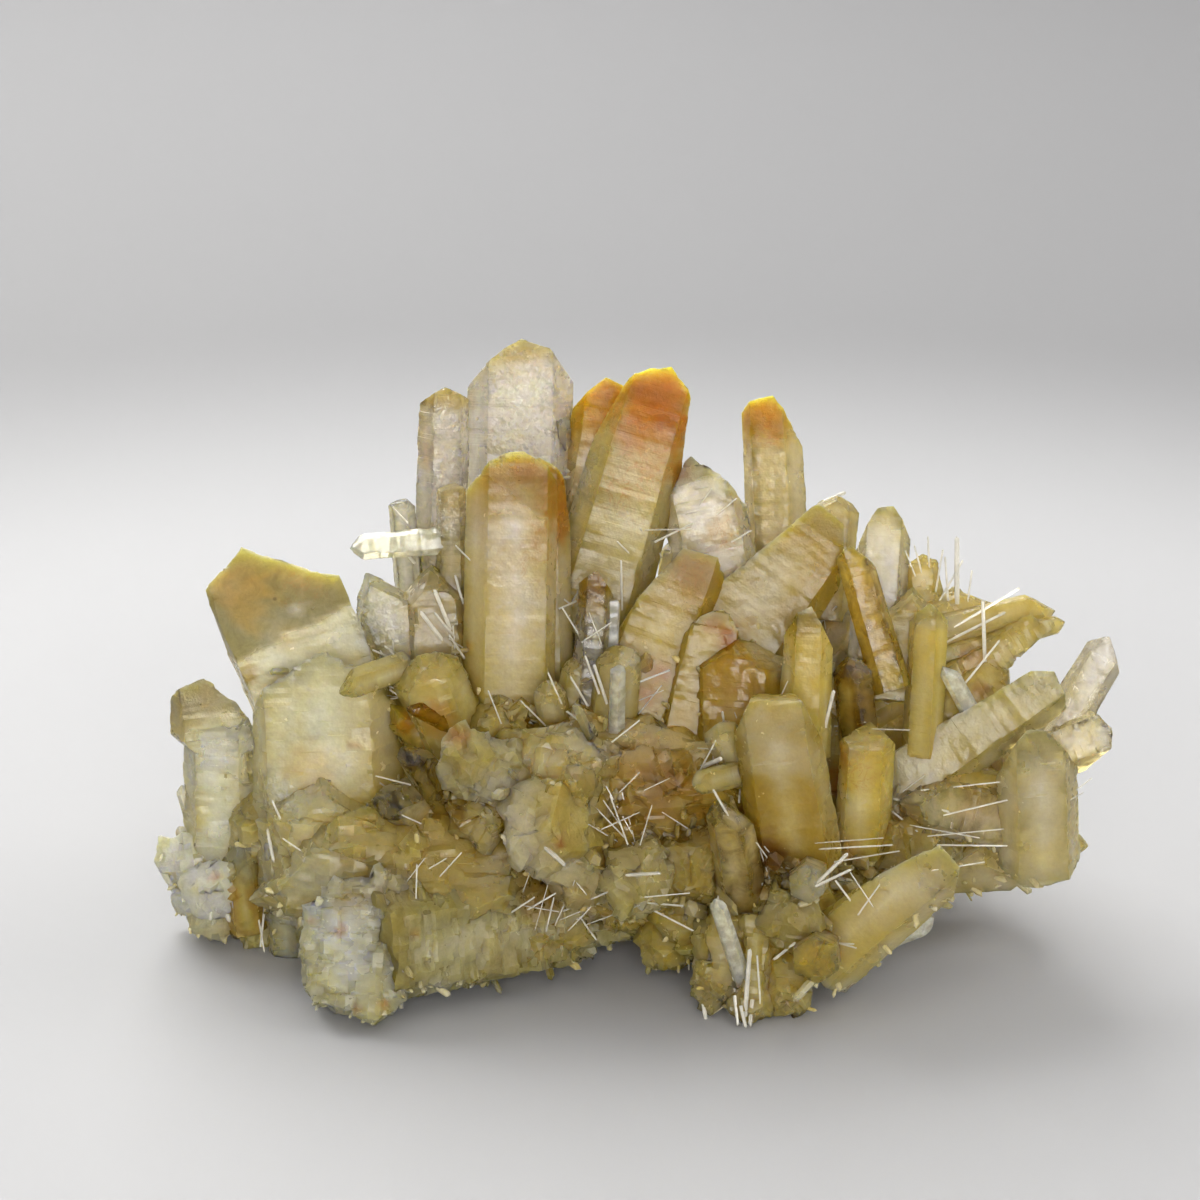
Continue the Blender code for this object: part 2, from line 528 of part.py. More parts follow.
def main():
    for obj in list(bpy.data.objects):
        bpy.data.objects.remove(obj, do_unlink=True)
    scene = bpy.context.scene
    parts = bodies()
    grown = bpy.data.collections.new("grown_crystals")
    scene.collection.children.link(grown)
    base = None
    for name, bm in parts:
        if name == "middle_0":
            base = make_object("quartz_base", bm, scene.collection)
        else:
            o = make_object(name, bm, grown)
            o.hide_render = True
            o.display_type = "WIRE"
    join = base.modifiers.new("join", "BOOLEAN")
    join.operation = "UNION"
    join.operand_type = "COLLECTION"
    join.collection = grown
    join.solver = "EXACT"
    floor = bmesh.new()
    bmesh.ops.create_cube(floor, size=1.0)
    bmesh.ops.scale(floor, vec=(300, 300, REST_DEPTH), verts=floor.verts[:])
    bmesh.ops.translate(floor, vec=CENTRE + Vector((0, 0, -REST_DEPTH / 2)), verts=floor.verts[:])
    flat = make_object("rest_cut", floor, scene.collection)
    flat.hide_render = True
    flat.display_type = "WIRE"
    rest = base.modifiers.new("rest", "BOOLEAN")
    rest.operation = "DIFFERENCE"
    rest.object = flat
    rest.solver = "EXACT"
    depsgraph = bpy.context.evaluated_depsgraph_get()
    mesh = bpy.data.meshes.new_from_object(base.evaluated_get(depsgraph))
    mesh.name = "quartz_cluster"
    shells = outer_shell(mesh)
    cluster = bpy.data.objects.new("quartz_cluster", mesh)
    scene.collection.objects.link(cluster)
    mesh.materials.clear()
    mesh.materials.append(finish())
    for obj in [o for o in bpy.data.objects if o != cluster]:
        bpy.data.objects.remove(obj, do_unlink=True)
    low = [min(v.co[k] for v in mesh.vertices) / MM for k in range(3)]
    high = [max(v.co[k] for v in mesh.vertices) / MM for k in range(3)]
    print("cluster mm", [round(x, 2) for x in low], [round(x, 2) for x in high], "shells", shells,
          "triangles", sum(len(p.vertices) - 2 for p in mesh.polygons))


main()
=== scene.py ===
"""Looks of the mango quartz cluster.

The crystals stand where the construction has them: the same table of tips,
bases and widths is cut from flat faces here, and then every crystal gets its
real surface.  Its sides carry growth steps across the axis, its tip faces are
pitted or granular, its edges are worn, and all crystals of a part of the
cluster are joined in one closed mesh.  Small crystals, clear needles and specks
are meshes of their own.
"""
import math
import random

import bmesh
import bpy
import numpy as np
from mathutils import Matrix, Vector
from mathutils.bvhtree import BVHTree
from mathutils.kdtree import KDTree


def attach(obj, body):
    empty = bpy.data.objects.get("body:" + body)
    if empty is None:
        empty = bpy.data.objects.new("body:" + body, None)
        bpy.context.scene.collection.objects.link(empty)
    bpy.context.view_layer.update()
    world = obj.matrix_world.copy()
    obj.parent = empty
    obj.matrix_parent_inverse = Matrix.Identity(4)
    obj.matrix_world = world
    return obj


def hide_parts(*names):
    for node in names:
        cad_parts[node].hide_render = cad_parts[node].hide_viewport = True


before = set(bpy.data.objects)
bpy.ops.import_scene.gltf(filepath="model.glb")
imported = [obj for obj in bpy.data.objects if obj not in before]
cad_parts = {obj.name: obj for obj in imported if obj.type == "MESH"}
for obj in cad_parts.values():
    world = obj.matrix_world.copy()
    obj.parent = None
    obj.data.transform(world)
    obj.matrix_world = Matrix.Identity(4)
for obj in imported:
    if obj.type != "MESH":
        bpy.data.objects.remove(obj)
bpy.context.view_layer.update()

# ------------------------------------------------------------------ dimensions
MM = 0.001                     # the layout below is in millimetres
PITCH = 0.14                   # one picture unit at the middle of the cluster
EYE_DISTANCE = 560.0           # eye to the aimed point
EYE_ELEVATION = math.radians(18.0)
AIM = Vector((-5.5, 0.0, 49.2))
CENTRE = Vector((-0.55, 4.53, 0.0))   # middle of the whole outline, moved to the origin
RHOMB = math.radians(38.2)     # slope of a quartz tip face from the axis
ROOT = 1.5                     # each crystal runs on this far into the mass
REST_DEPTH = 40.0              # depth of the block that cuts the feet flat
SEED = 4704

# --------------------------------------------------------------------- picture
_FWD = Vector((0.0, math.cos(EYE_ELEVATION), -math.sin(EYE_ELEVATION)))
_UP = Vector((0.0, math.sin(EYE_ELEVATION), math.cos(EYE_ELEVATION)))
_RIGHT = Vector((1.0, 0.0, 0.0))
EYE = AIM - _FWD * EYE_DISTANCE


def ray(u, v):
    """Direction from the eye through picture point (u, v)."""
    k = PITCH / EYE_DISTANCE
    return _FWD + _RIGHT * ((u - 600.0) * k) + _UP * ((600.0 - v) * k)


def seen(u, v, depth):
    """The point that is seen at (u, v), depth mm behind the middle."""
    d = ray(u, v)
    return EYE + d * ((depth - EYE.y) / d.y)


def on_plane(u, v, point, normal):
    """Where the sight line through (u, v) meets a plane."""
    d = ray(u, v)
    return EYE + d * ((point - EYE).dot(normal) / d.dot(normal))


# -------------------------------------------------------------------- crystals
# name, tip (u, v, depth), base (u, v, depth), width in units, thickness over
# width, roll in degrees, tip.  A tip is a word, or a list of straight edges of
# the outline (u1, v1, u2, v2, lean): each is a face through that edge, leaning
# towards the eye by so many degrees.
CRYSTALS = [
    # left: two broad blades and the small crystals at their foot
    ("edge_cap", (205, 676, -1), (217, 770, -2), 96, 0.75, 0, [
        (170, 696, 204, 677, 35), (204, 677, 253, 726, 30), (170, 690, 171, 735, 5), (171, 735, 192, 752, -15)]),
    ("edge_body", (220, 712, -3), (221, 905, -4), 74, 0.85, 8, "flat"),
    ("edge_spur", (180, 783, -3), (203, 852, -2), 15, 0.9, 0, "point"),
    ("edge_spur_low", (178, 824, -4), (196, 864, -3), 13, 0.9, 10, "point"),
    ("lump_left", (160, 874, -7), (240, 880, -3), 70, 1.0, 12, "point"),
    ("lump_foot", (212, 937, -6), (200, 846, -2), 84, 0.9, 5, [
        (170, 838, 190, 822, 20), (166, 842, 160, 874, 5), (161, 872, 176, 912, 10), (174, 908, 194, 932, 10),
        (190, 931, 216, 938, 10), (214, 938, 240, 926, 10)]),
    ("lump_face", (202, 900, -14), (230, 876, -2), 66, 0.9, 20, "blunt"),
    ("low_smooth", (233, 829, -11), (246, 917, -8), 44, 1.0, 0, "right"),
    ("low_plate", (284, 862, -14), (290, 942, -10), 40, 0.7, 15, "left"),
    ("low_chip", (270, 838, -15), (276, 890, -10), 16, 0.9, 0, "point"),
    ("low_back", (262, 800, -8), (266, 932, -4), 66, 0.8, 0, "flat"),
    ("blade", (272, 546, 1), (352, 838, -6), 176, 0.40, 0, [
        (238, 547, 340, 575, 46), (203, 597, 244, 545, 24), (337, 571, 372, 652, 12),
        (203, 596, 232, 662, -6), (229, 655, 262, 750, 0)]),
    ("blade_body", (322, 655, -7), (334, 872, -10), 150, 0.5, 8, [
        (250, 710, 322, 650, 35), (322, 650, 404, 712, 35)]),
    ("blade_foot", (322, 770, -14), (330, 905, -12), 118, 0.6, 0, "blunt"),
    ("blade_wing", (333, 690, -16), (398, 668, -8), 30, 0.5, 20, "left"),
    ("hex_clear", (371, 782, -22), (446, 818, -12), 60, 0.9, 10, "left"),
    ("smoky", (404, 738, -22), (474, 852, -12), 36, 1.0, 20, "left"),
    ("wing_low", (306, 872, -17), (372, 848, -10), 34, 0.7, 0, "point"),
    # front left: the broad broken foot
    ("foot", (364, 872, -22), (356, 1030, -33), 128, 0.75, 18, [
        (292, 916, 328, 883, 55), (324, 884, 424, 872, 60), (292, 912, 306, 984, 0), (303, 978, 314, 999, 5),
        (310, 995, 374, 1025, 5), (372, 1025, 406, 996, 5)]),
    ("foot_wing", (392, 940, -29), (600, 905, -12), 122, 0.7, 15, [
        (398, 1002, 492, 977, 0), (488, 978, 530, 965, 0), (400, 873, 530, 873, 55)]),
    ("foot_top", (372, 862, -24), (470, 866, -12), 80, 0.8, 0, "blunt"),
    ("foot_tail", (572, 976, -24), (560, 890, -12), 66, 0.9, 0, "blunt"),
    ("foot_tail_b", (536, 970, -26), (530, 900, -14), 50, 0.9, 15, "blunt"),
    # between the blade and the tall crystals
    ("left_point", (345, 548, -1), (480, 538, 2), 28, 0.8, 0, "point"),
    ("left_block", (401, 501, 5), (409, 580, 6), 28, 0.9, 12, "flat"),
    ("left_bright", (374, 578, 7), (402, 720, 4), 56, 0.8, 0, "left"),
    ("left_plate", (370, 552, 1), (452, 760, -5), 70, 0.6, 10, "left"),
    ("left_body", (430, 556, 0), (446, 780, -6), 72, 0.7, 0, "point"),
    ("yellow_dome", (418, 650, -10), (456, 742, -8), 74, 0.8, 12, "blunt"),
    ("yellow_side", (392, 694, -10), (452, 780, -8), 40, 0.7, 0, "left"),
    ("orange_blade", (404, 702, -14), (482, 742, -10), 18, 0.8, 0, "left"),
    ("mid_grey", (430, 748, -25), (560, 798, -12), 78, 0.8, 10, "point"),
    ("mid_grey_low", (452, 822, -24), (520, 800, -12), 72, 0.8, 0, "blunt"),
    ("mid_pale", (626, 732, -22), (540, 790, -12), 92, 0.7, 0, "right"),
    ("mid_pale_b", (606, 772, -26), (520, 770, -14), 84, 0.7, 15, "blunt"),
    ("mid_olive", (546, 676, -13), (560, 745, -10), 34, 0.8, 0, "point"),
    ("mid_fill", (500, 690, -10), (500, 790, -10), 104, 0.5, 0, "blunt"),
    # the tall group
    ("tall_left", (444, 387, 11), (440, 660, 7), 55, 0.9, -12, [
        (417, 404, 446, 386, 15), (444, 386, 478, 402, 15)]),
    ("tall_back", (521, 338, 21), (518, 660, 10), 112, 0.75, 0, [
        (459, 393, 504, 347, 12), (500, 349, 522, 337, 10), (520, 337, 550, 347, 12), (547, 344, 576, 385, 12)]),
    ("tall_front", (514, 450, -1), (509, 735, -5), 96, 0.78, -6, [
        (461, 497, 510, 450, 40), (506, 450, 524, 449.5, 50), (522, 449, 560, 486, 34)]),
    ("tall_front_b", (542, 456, 1), (546, 735, -3), 56, 0.95, 4, [
        (515, 470, 542, 456, 30), (538, 456, 566, 478, 30), (562, 466, 573, 545, 5)]),
    ("tall_step", (452, 486, 2), (454, 670, -1), 36, 0.9, 10, "flat"),
    ("olive_cap", (597, 570, -7), (590, 700, -9), 38, 0.9, 0, [
        (571, 588, 598, 569, 12), (597, 569, 611, 590, 10)]),
    ("gold_back", (610, 376, 18), (566, 640, 12), 66, 0.8, 0, [
        (570, 410, 606, 377, 15), (603, 376, 634, 392, 15)]),
    ("mango", (664, 365, 9), (590, 620, 4), 98, 0.72, 0, [
        (620, 385, 656, 364, 40), (650, 365, 674, 364.5, 48), (671, 364, 692, 398, 35),
        (691, 396, 686, 436, 6), (626, 380, 586, 452, 0), (590, 446, 564, 520, 0)]),
    ("plate_small", (613, 600, -8), (610, 668, -9), 15, 0.5, 0, "flat"),
    ("mid_glass", (622, 640, -13), (610, 740, -11), 48, 0.8, 15, "blunt"),
    ("mid_post", (618, 668, -19), (616, 740, -14), 17, 0.9, 20, "flat"),
    ("mango_foot", (590, 640, -8), (575, 720, -9), 46, 0.8, 0, "point"),
    # upper right
    ("grey_slope", (692, 455, 8), (735, 650, 2), 84, 0.6, 0, [
        (667, 506, 684, 462, 10), (680, 464, 692, 454, 25), (690, 454, 750, 510, 30)]),
    ("post", (770, 394, 17), (779, 580, 12), 62, 0.9, 8, [
        (738, 413, 775, 394, 36), (772, 393, 810, 458, 24)]),
    ("back_small", (838, 486, 20), (826, 610, 14), 48, 0.8, 0, "blunt"),
    ("broad_blade", (830, 503, 5), (706, 676, -3), 118, 0.5, 0, [
        (740, 566, 812, 506, 24), (800, 507, 824, 502, 22), (820, 502, 847, 524, 22), (844, 518, 840, 600, 8)]),
    ("brown_tip", (690, 545, 0), (634, 700, -7), 96, 0.6, 0, [
        (612, 640, 684, 545, 30), (680, 545, 724, 570, 40)]),
    ("round_back", (720, 607, -5), (690, 740, -10), 74, 0.7, 0, [
        (668, 652, 702, 614, 25), (698, 616, 728, 606, 25), (724, 605, 738, 630, 20)]),
    ("orange_notch", (742, 622, -8), (740, 745, -12), 96, 0.6, 10, "blunt"),
    ("grey_top", (810, 606, -12), (803, 745, -14), 52, 0.9, 0, [
        (779, 642, 797, 613, 15), (795, 614, 814, 605, 20), (811, 605, 834, 650, 15)]),
    ("yellow_prism", (850, 545, -3), (889, 680, -9), 38, 0.9, -8, [
        (836, 558, 852, 544, 15), (849, 544, 874, 565, 15)]),
    ("white_back", (886, 505, 10), (876, 650, 4), 54, 0.7, 0, [
        (856, 548, 878, 506, 15), (876, 507, 896, 505, 15), (893, 504, 911, 540, 15)]),
    ("spike_group", (920, 548, 9), (928, 640, 4), 36, 0.9, 0, "blunt"),
    ("spike_group_b", (950, 572, 7), (936, 660, 2), 44, 0.7, 10, "right"),
    ("ridge_right", (905, 568, 2), (894, 690, -4), 66, 0.6, 0, "right"),
    ("milky_post", (930, 602, -6), (922, 745, -9), 40, 0.9, 12, [
        (910, 620, 932, 601, 20), (928, 601, 951, 622, 20)]),
    ("fan_top", (1010, 594, 6), (900, 640, 1), 50, 0.6, 0, "right"),
    ("fan_long", (1064, 602, 4), (920, 636, 0), 34, 0.7, 10, "right"),
    ("fan_low", (1068, 621, 2), (930, 660, -2), 20, 0.8, 0, "point"),
    ("fan_wide", (1046, 634, 1), (930, 706, -4), 62, 0.5, 0, [
        (1056, 626, 1010, 666, 10), (1000, 614, 1060, 624, 10)]),
    ("fan_end", (1016, 668, -2), (930, 720, -6), 50, 0.6, 10, "blunt"),
    ("clear_lean", (943, 661, -9), (988, 745, -9), 20, 0.9, 0, "left"),
    ("olive_small", (850, 650, -11), (858, 730, -10), 40, 0.9, 20, "point"),
    ("right_big", (1054, 671, -7), (900, 778, -8), 82, 0.7, 0, [
        (960, 712, 1032, 670, 18), (1026, 671, 1058, 670, 20), (1054, 669, 1070, 715, 15)]),
    ("right_glass", (1113, 641, -5), (1050, 744, -6), 46, 0.8, 0, [
        (1076, 643, 1112, 635, 12), (1110, 635, 1119, 668, 12)]),
    ("right_stub", (1112, 728, -8), (1050, 752, -8), 60, 0.8, 0, [
        (1046, 732, 1092, 708, 20), (1090, 709, 1113, 730, 15), (1113, 728, 1110, 752, 10), (1112, 748, 1082, 774, 10)]),
    ("right_front", (1036, 728, -12), (1040, 888, -10), 82, 0.8, -8, [
        (997, 776, 1026, 730, 28), (1022, 729, 1048, 729, 35), (1044, 728, 1080, 768, 28),
        (1002, 868, 1022, 886, 10), (1020, 887, 1046, 887, 10), (1044, 888, 1092, 858, 10)]),
    ("right_chip", (1094, 847, -8), (1040, 842, -8), 34, 0.8, 0, "point"),
    ("right_under", (972, 862, -4), (940, 840, -2), 80, 0.7, 0, "blunt"),
    # lower right and centre
    ("big_centre", (772, 700, -22), (796, 856, -20), 90, 0.7, 0, [
        (736, 730, 750, 700, 15), (744, 700, 806, 700, 18), (802, 699, 832, 760, 12)]),
    ("yellow_pale", (868, 733, -17), (862, 842, -15), 56, 0.8, 0, "flat"),
    ("bundle", (890, 792, -16), (1015, 822, -8), 62, 0.6, 0, "left"),
    ("bundle_top", (926, 778, -13), (1012, 790, -7), 34, 0.5, 0, "left"),
    ("front_lean", (948, 848, -31), (826, 952, -24), 84, 0.7, 0, [
        (905, 860, 942, 841, 35), (938, 841, 962, 868, 38), (961, 866, 954, 896, 20), (830, 992, 792, 970, 5)]),
    ("lean_spur", (938, 917, -27), (866, 944, -24), 28, 0.7, 0, "point"),
    ("end_on_top", (806, 886, -36), (812, 872, -18), 42, 1.0, 0, "blunt"),
    ("end_on_low", (815, 963, -40), (820, 942, -22), 50, 1.0, 12, "blunt"),
    ("grey_knob", (786, 926, -34), (790, 906, -18), 66, 1.0, 0, "blunt"),
    ("clear_tan", (724, 789, -30), (744, 902, -24), 48, 0.8, 10, "left"),
    ("clear_post", (715, 897, -36), (746, 990, -32), 18, 0.9, 15, "point"),
    ("base_knob", (716, 1022, -34), (728, 930, -26), 66, 0.9, 0, "blunt"),
    ("base_knob_mid", (748, 1030, -35), (752, 930, -28), 44, 0.9, 10, "blunt"),
    ("base_knob_right", (788, 1024, -34), (780, 930, -24), 62, 0.9, 15, "blunt"),
    ("rough_pale", (504, 832, -30), (606, 812, -14), 102, 0.8, 0, "blunt"),
    ("rough_pale_low", (548, 884, -29), (600, 840, -14), 84, 0.8, 10, "blunt"),
    ("grey_lump", (632, 866, -30), (644, 900, -14), 80, 0.9, 0, "blunt"),
    ("tan_lump", (688, 846, -27), (700, 900, -14), 100, 0.8, 10, "blunt"),
    ("brown_mass", (664, 738, -19), (680, 820, -12), 106, 0.8, 0, "blunt"),
    ("brown_mass_b", (636, 770, -20), (640, 850, -12), 90, 0.8, 15, "blunt"),
    ("side_chip", (690, 786, -27), (744, 772, -20), 26, 0.6, 0, "point"),
    ("side_facet", (712, 720, -20), (744, 770, -18), 38, 0.7, 0, "blunt"),
    ("under_knob", (664, 978, -24), (672, 900, -14), 52, 0.9, 0, "blunt"),
    ("under_knob_b", (612, 940, -22), (620, 880, -12), 60, 0.9, 0, "blunt"),
    ("lower_right", (880, 880, -20), (900, 830, -8), 120, 0.8, 0, "blunt"),
]


def seeded(name):
    return random.Random(sum((i + 3) * ord(c) for i, c in enumerate(name)) + SEED)


def axes(tip, base):
    """Axis, across and towards-the-eye directions of a crystal."""
    axis = (tip - base).normalized()
    sight = ((tip + base) * 0.5 - EYE).normalized()
    across = axis.cross(sight).normalized()
    return axis, across, across.cross(axis).normalized()


def prism_faces(rng, half_w, half_t, roll):
    """Six (angle, distance) pairs whose hexagon is 2*half_w across."""
    out = []
    for k in range(6):
        a = math.radians(roll + 30 + 60 * k)
        d = math.hypot(half_w * math.cos(a), half_t * math.sin(a))
        out.append([a, d * rng.uniform(0.90, 1.04)])
    ext = []
    for i in range(6):
        (a, d), (b, e) = out[i], out[(i + 1) % 6]
        det = math.sin(b - a)
        ext.append((d * math.sin(b) - e * math.sin(a)) / det)
    mid = (max(ext) + min(ext)) / 2
    k = 2 * half_w / (max(ext) - min(ext))
    return [(a, d * k - mid * k * math.cos(a)) for a, d in out]


def side_depth(faces, x, back):
    """How far the prism reaches behind (or before) its axis, x to the side of it."""
    reach = []
    for a, d in faces:
        s = -math.sin(a) if back else math.sin(a)
        if s > 1e-3:
            reach.append((d - x * math.cos(a)) / s)
    return max(0.0, min(reach))


def outline_point(u, v, mid, near, across, faces, lean):
    """Outline point on the side of the prism that a leaning face leaves last."""
    p = on_plane(u, v, mid, near)
    depth = side_depth(faces, (p - mid).dot(across), lean > 0)
    return on_plane(u, v, mid - near * (depth if lean > 0 else -depth), near)


def crystal_planes(name, tip, base, width, ratio, roll, style):
    """Planes (point, outward normal) of one crystal, in millimetres."""
    rng = seeded(name)
    top, foot = seen(*tip), seen(*base)
    axis, across, near = axes(top, foot)
    length = (top - foot).length
    mid = (top + foot) * 0.5
    scale = PITCH * (mid - EYE).dot(_FWD) / EYE_DISTANCE
    half_w = width * scale / 2
    half_t = half_w * ratio
    faces = prism_faces(rng, half_w, half_t, roll)
    taper = math.radians(rng.uniform(0.3, 1.6))
    planes = []
    for a, d in faces:
        out = across * math.cos(a) + near * math.sin(a)
        n = (out * math.cos(taper) + axis * math.sin(taper)).normalized()
        planes.append((mid + out * d, n))
    if isinstance(style, list):
        for u1, v1, u2, v2, lean in style:
            p = outline_point(u1, v1, mid, near, across, faces, lean)
            q = outline_point(u2, v2, mid, near, across, faces, lean)
            edge = (q - p).normalized()
            n = edge.cross(near).normalized()
            if n.dot(p - (mid - axis * length * 0.2)) < 0:
                n = -n
            towards = near - edge * near.dot(edge)
            t = math.radians(lean)
            planes.append(((p + q) * 0.5, (n * math.cos(t) + towards.normalized() * math.sin(t)).normalized()))
        planes.append((top + axis * half_w * 0.3, axis.copy()))
    else:
        radius = (half_w + half_t) / 2
        lead = {"left": math.pi, "right": 0.0, "near": math.pi / 2}.get(style)
        drops = []
        for k, (a, d) in enumerate(faces):
            drop = rng.uniform(0.0, 0.25) * radius + (0.25 * radius if k % 2 else 0.0)
            if lead is not None:
                # one or two faces on the led side take most of the tip
                drop += radius * 1.1 * max(0.0, math.cos(a - lead)) ** 2
            drops.append(drop)
        least = min(drops)
        if style == "flat":
            tilt = rng.uniform(0, 2 * math.pi)
            n = (axis + (across * math.cos(tilt) + near * math.sin(tilt)) * 0.22).normalized()
            planes.append((top, n))
            for a, d in faces[::2]:
                out = across * math.cos(a) + near * math.sin(a)
                planes.append((top + out * d * 0.55, (out + axis * 0.9).normalized()))
        else:
            slope = RHOMB if style != "blunt" else math.radians(52)
            for (a, d), drop in zip(faces, drops):
                out = across * math.cos(a) + near * math.sin(a)
                n = (out * math.cos(slope) + axis * math.sin(slope)).normalized()
                planes.append((top - axis * (drop - least), n))
            if style == "blunt":
                planes.append((top - axis * radius * 0.18, (axis + near * 0.2).normalized()))
    planes.append((foot - axis * ROOT, -axis))
    return planes, (mid, axis, across, near, length, half_w, half_t)



# the grown-together middle: centre, radii, number of faces
MIDDLE = [
    ((2, 8, 20), (42, 23, 19), 26),
    ((-29, 3, 17), (22, 17, 14), 20),
    ((31, 5, 18), (22, 16, 13), 20),
    ((0, -8, 22), (24, 14, 15), 18),
    ((-30, -14, 13), (20, 13, 12), 16),
    ((16, -16, 11), (14, 12, 12), 16),
    ((2, 12, 34), (30, 14, 12), 18),
]

# feet hidden behind and below, which carry the back of the cluster
FEET = [
    ((-29, 22, 6), (11, 9, 9), 14),
    ((32, 22, 6), (12, 9, 9), 14),
    ((3, 27, 6), (10, 8, 8), 14),
]

# the back, which the front view hides: crystals spread over it in rows
BACK_ROWS = [
    # count, first and last bearing (0 is +X, 90 is straight back), foot height, rise, length, width
    (11, -16.0, 196.0, 9.0, 6.0, 27.0, 10.5),
    (10, -6.0, 186.0, 17.0, 22.0, 31.0, 11.5),
    (8, 14.0, 166.0, 25.0, 40.0, 33.0, 12.0),
    (7, 20.0, 162.0, 31.0, 56.0, 32.0, 11.0),
    (6, 18.0, 160.0, 35.0, 72.0, 31.0, 10.0),
]
BACK_CENTRE = Vector((1.0, 7.0, 0.0))
BACK_SPREAD = ((33.0, 13.0), (32.0, 13.0), (28.0, 12.0), (25.0, 10.0), (19.0, 7.0))
# the two flanks: tip, foot and width in millimetres
FLANKS = [
    ((57, 3, 21), (33, 4, 17), 12.0),
    ((55, 15, 31), (32, 9, 21), 11.0),
    ((52, 10, 12), (31, 8, 13), 10.5),
    ((49, -7, 17), (30, -3, 16), 10.0),
    ((47, 1, 35), (30, 4, 22), 10.5),
    ((51, 21, 20), (31, 13, 16), 9.5),
    ((44, -13, 25), (27, -6, 18), 9.0),
    ((-57, 10, 25), (-34, 6, 18), 11.0),
    ((-56, 18, 15), (-34, 9, 13), 10.5),
    ((-59, 5, 12), (-38, 4, 12), 10.0),
    ((-51, 22, 28), (-31, 10, 19), 10.5),
    ((-52, 3, 33), (-36, 2, 20), 9.5),
    ((-48, 16, 7), (-31, 9, 10), 9.0),
]
# what the front view shows free of crystals starts above this line (u, v)
SKYLINE = [
    (150, 900), (172, 770), (215, 715), (250, 680), (262, 610), (340, 610), (372, 640), (400, 580), (420, 500),
    (445, 420), (470, 400), (520, 380), (600, 410), (680, 440), (700, 500), (745, 530), (800, 520), (850, 540),
    (900, 560), (960, 610), (1010, 620), (1040, 690), (1105, 730), (1125, 800)]


def skyline(u):
    if u <= SKYLINE[0][0] or u >= SKYLINE[-1][0]:
        return 900.0
    for (a, p), (b, q) in zip(SKYLINE, SKYLINE[1:]):
        if a <= u <= b:
            return p + (q - p) * (u - a) / (b - a)


def picture(p):
    """Where a point is seen: (u, v)."""
    d = p - EYE
    k = EYE_DISTANCE / PITCH / d.dot(_FWD)
    return 600 + d.dot(_RIGHT) * k, 600 - d.dot(_UP) * k


def back_crystals():
    rng = random.Random(SEED + 7)
    out = []
    for row, (count, first, last, height, rise, length, width) in enumerate(BACK_ROWS):
        for i in range(count):
            bearing = math.radians(first + (last - first) * (i + 0.5) / count + rng.uniform(-7, 7))
            lift = math.radians(rise + rng.uniform(-9, 9))
            foot = BACK_CENTRE + Vector((
                math.cos(bearing) * BACK_SPREAD[row][0], math.sin(bearing) * BACK_SPREAD[row][1],
                height + rng.uniform(-2, 2)))
            aim = Vector((math.cos(bearing) * math.cos(lift), math.sin(bearing) * math.cos(lift), math.sin(lift)))
            reach = length * rng.uniform(0.78, 1.12)
            size = width * rng.uniform(0.65, 1.15)
            while reach > 10.0:
                u, v = picture(foot + aim * (reach + 1.5))
                if v > skyline(u) + size * 1.5:
                    break
                reach -= 1.0
            tip = foot + aim * reach
            tip.z = max(tip.z, 5.0)
            out.append(("back_%d_%d" % (row, i), tip, foot, size, rng.uniform(0.7, 1.0), rng.uniform(0, 60)))
    return out


def flank_crystals():
    rng = random.Random(SEED + 9)
    return [("flank_%d" % i, Vector(tip), Vector(foot), width, rng.uniform(0.7, 1.0), rng.uniform(0, 60))
            for i, (tip, foot, width) in enumerate(FLANKS)]


def free_planes(name, top, foot, width, ratio, roll):
    """Planes of a crystal given by its ends, with an ordinary quartz tip."""
    rng = seeded(name)
    axis = (top - foot).normalized()
    across = axis.cross(Vector((0.3, 0.2, 1.0))).normalized()
    near = across.cross(axis).normalized()
    mid = (top + foot) * 0.5
    half_w, half_t = width / 2, width * ratio / 2
    radius = (half_w + half_t) / 2
    faces = prism_faces(rng, half_w, half_t, roll)
    planes, drops = [], []
    for k, (a, d) in enumerate(faces):
        out = across * math.cos(a) + near * math.sin(a)
        n = (out + axis * math.tan(math.radians(rng.uniform(0.3, 1.8)))).normalized()
        planes.append((mid + out * d, n))
        drops.append(rng.uniform(0, 0.7) * radius + (0.3 * radius if k % 2 else 0.0))
    for (a, d), drop in zip(faces, drops):
        out = across * math.cos(a) + near * math.sin(a)
        planes.append((top - axis * (drop - min(drops)), (out * math.cos(RHOMB) + axis * math.sin(RHOMB)).normalized()))
    planes.append((foot - axis * ROOT, -axis))
    return planes, (mid, axis, across, near, (top - foot).length, half_w, half_t)



# ======================================================================= looks
def srgb(r, g, b):
    """A colour given as eye values 0 to 255, as linear light."""
    out = []
    for c in (r, g, b):
        c /= 255.0
        out.append(c / 12.92 if c <= 0.04045 else ((c + 0.055) / 1.055) ** 2.4)
    return tuple(out)


CREAM = srgb(226, 212, 172)
STRAW = srgb(220, 199, 146)
PALE = srgb(228, 220, 192)
MILK = srgb(226, 221, 203)
GREY = srgb(202, 195, 172)
TAN = srgb(196, 168, 108)
GOLD = srgb(202, 166, 54)
MANGO = srgb(192, 134, 24)
ORANGE = srgb(196, 118, 20)
BROWN = srgb(150, 92, 28)
OLIVE = srgb(186, 152, 52)
YELLOW = srgb(224, 196, 118)
DEEP = srgb(186, 152, 84)

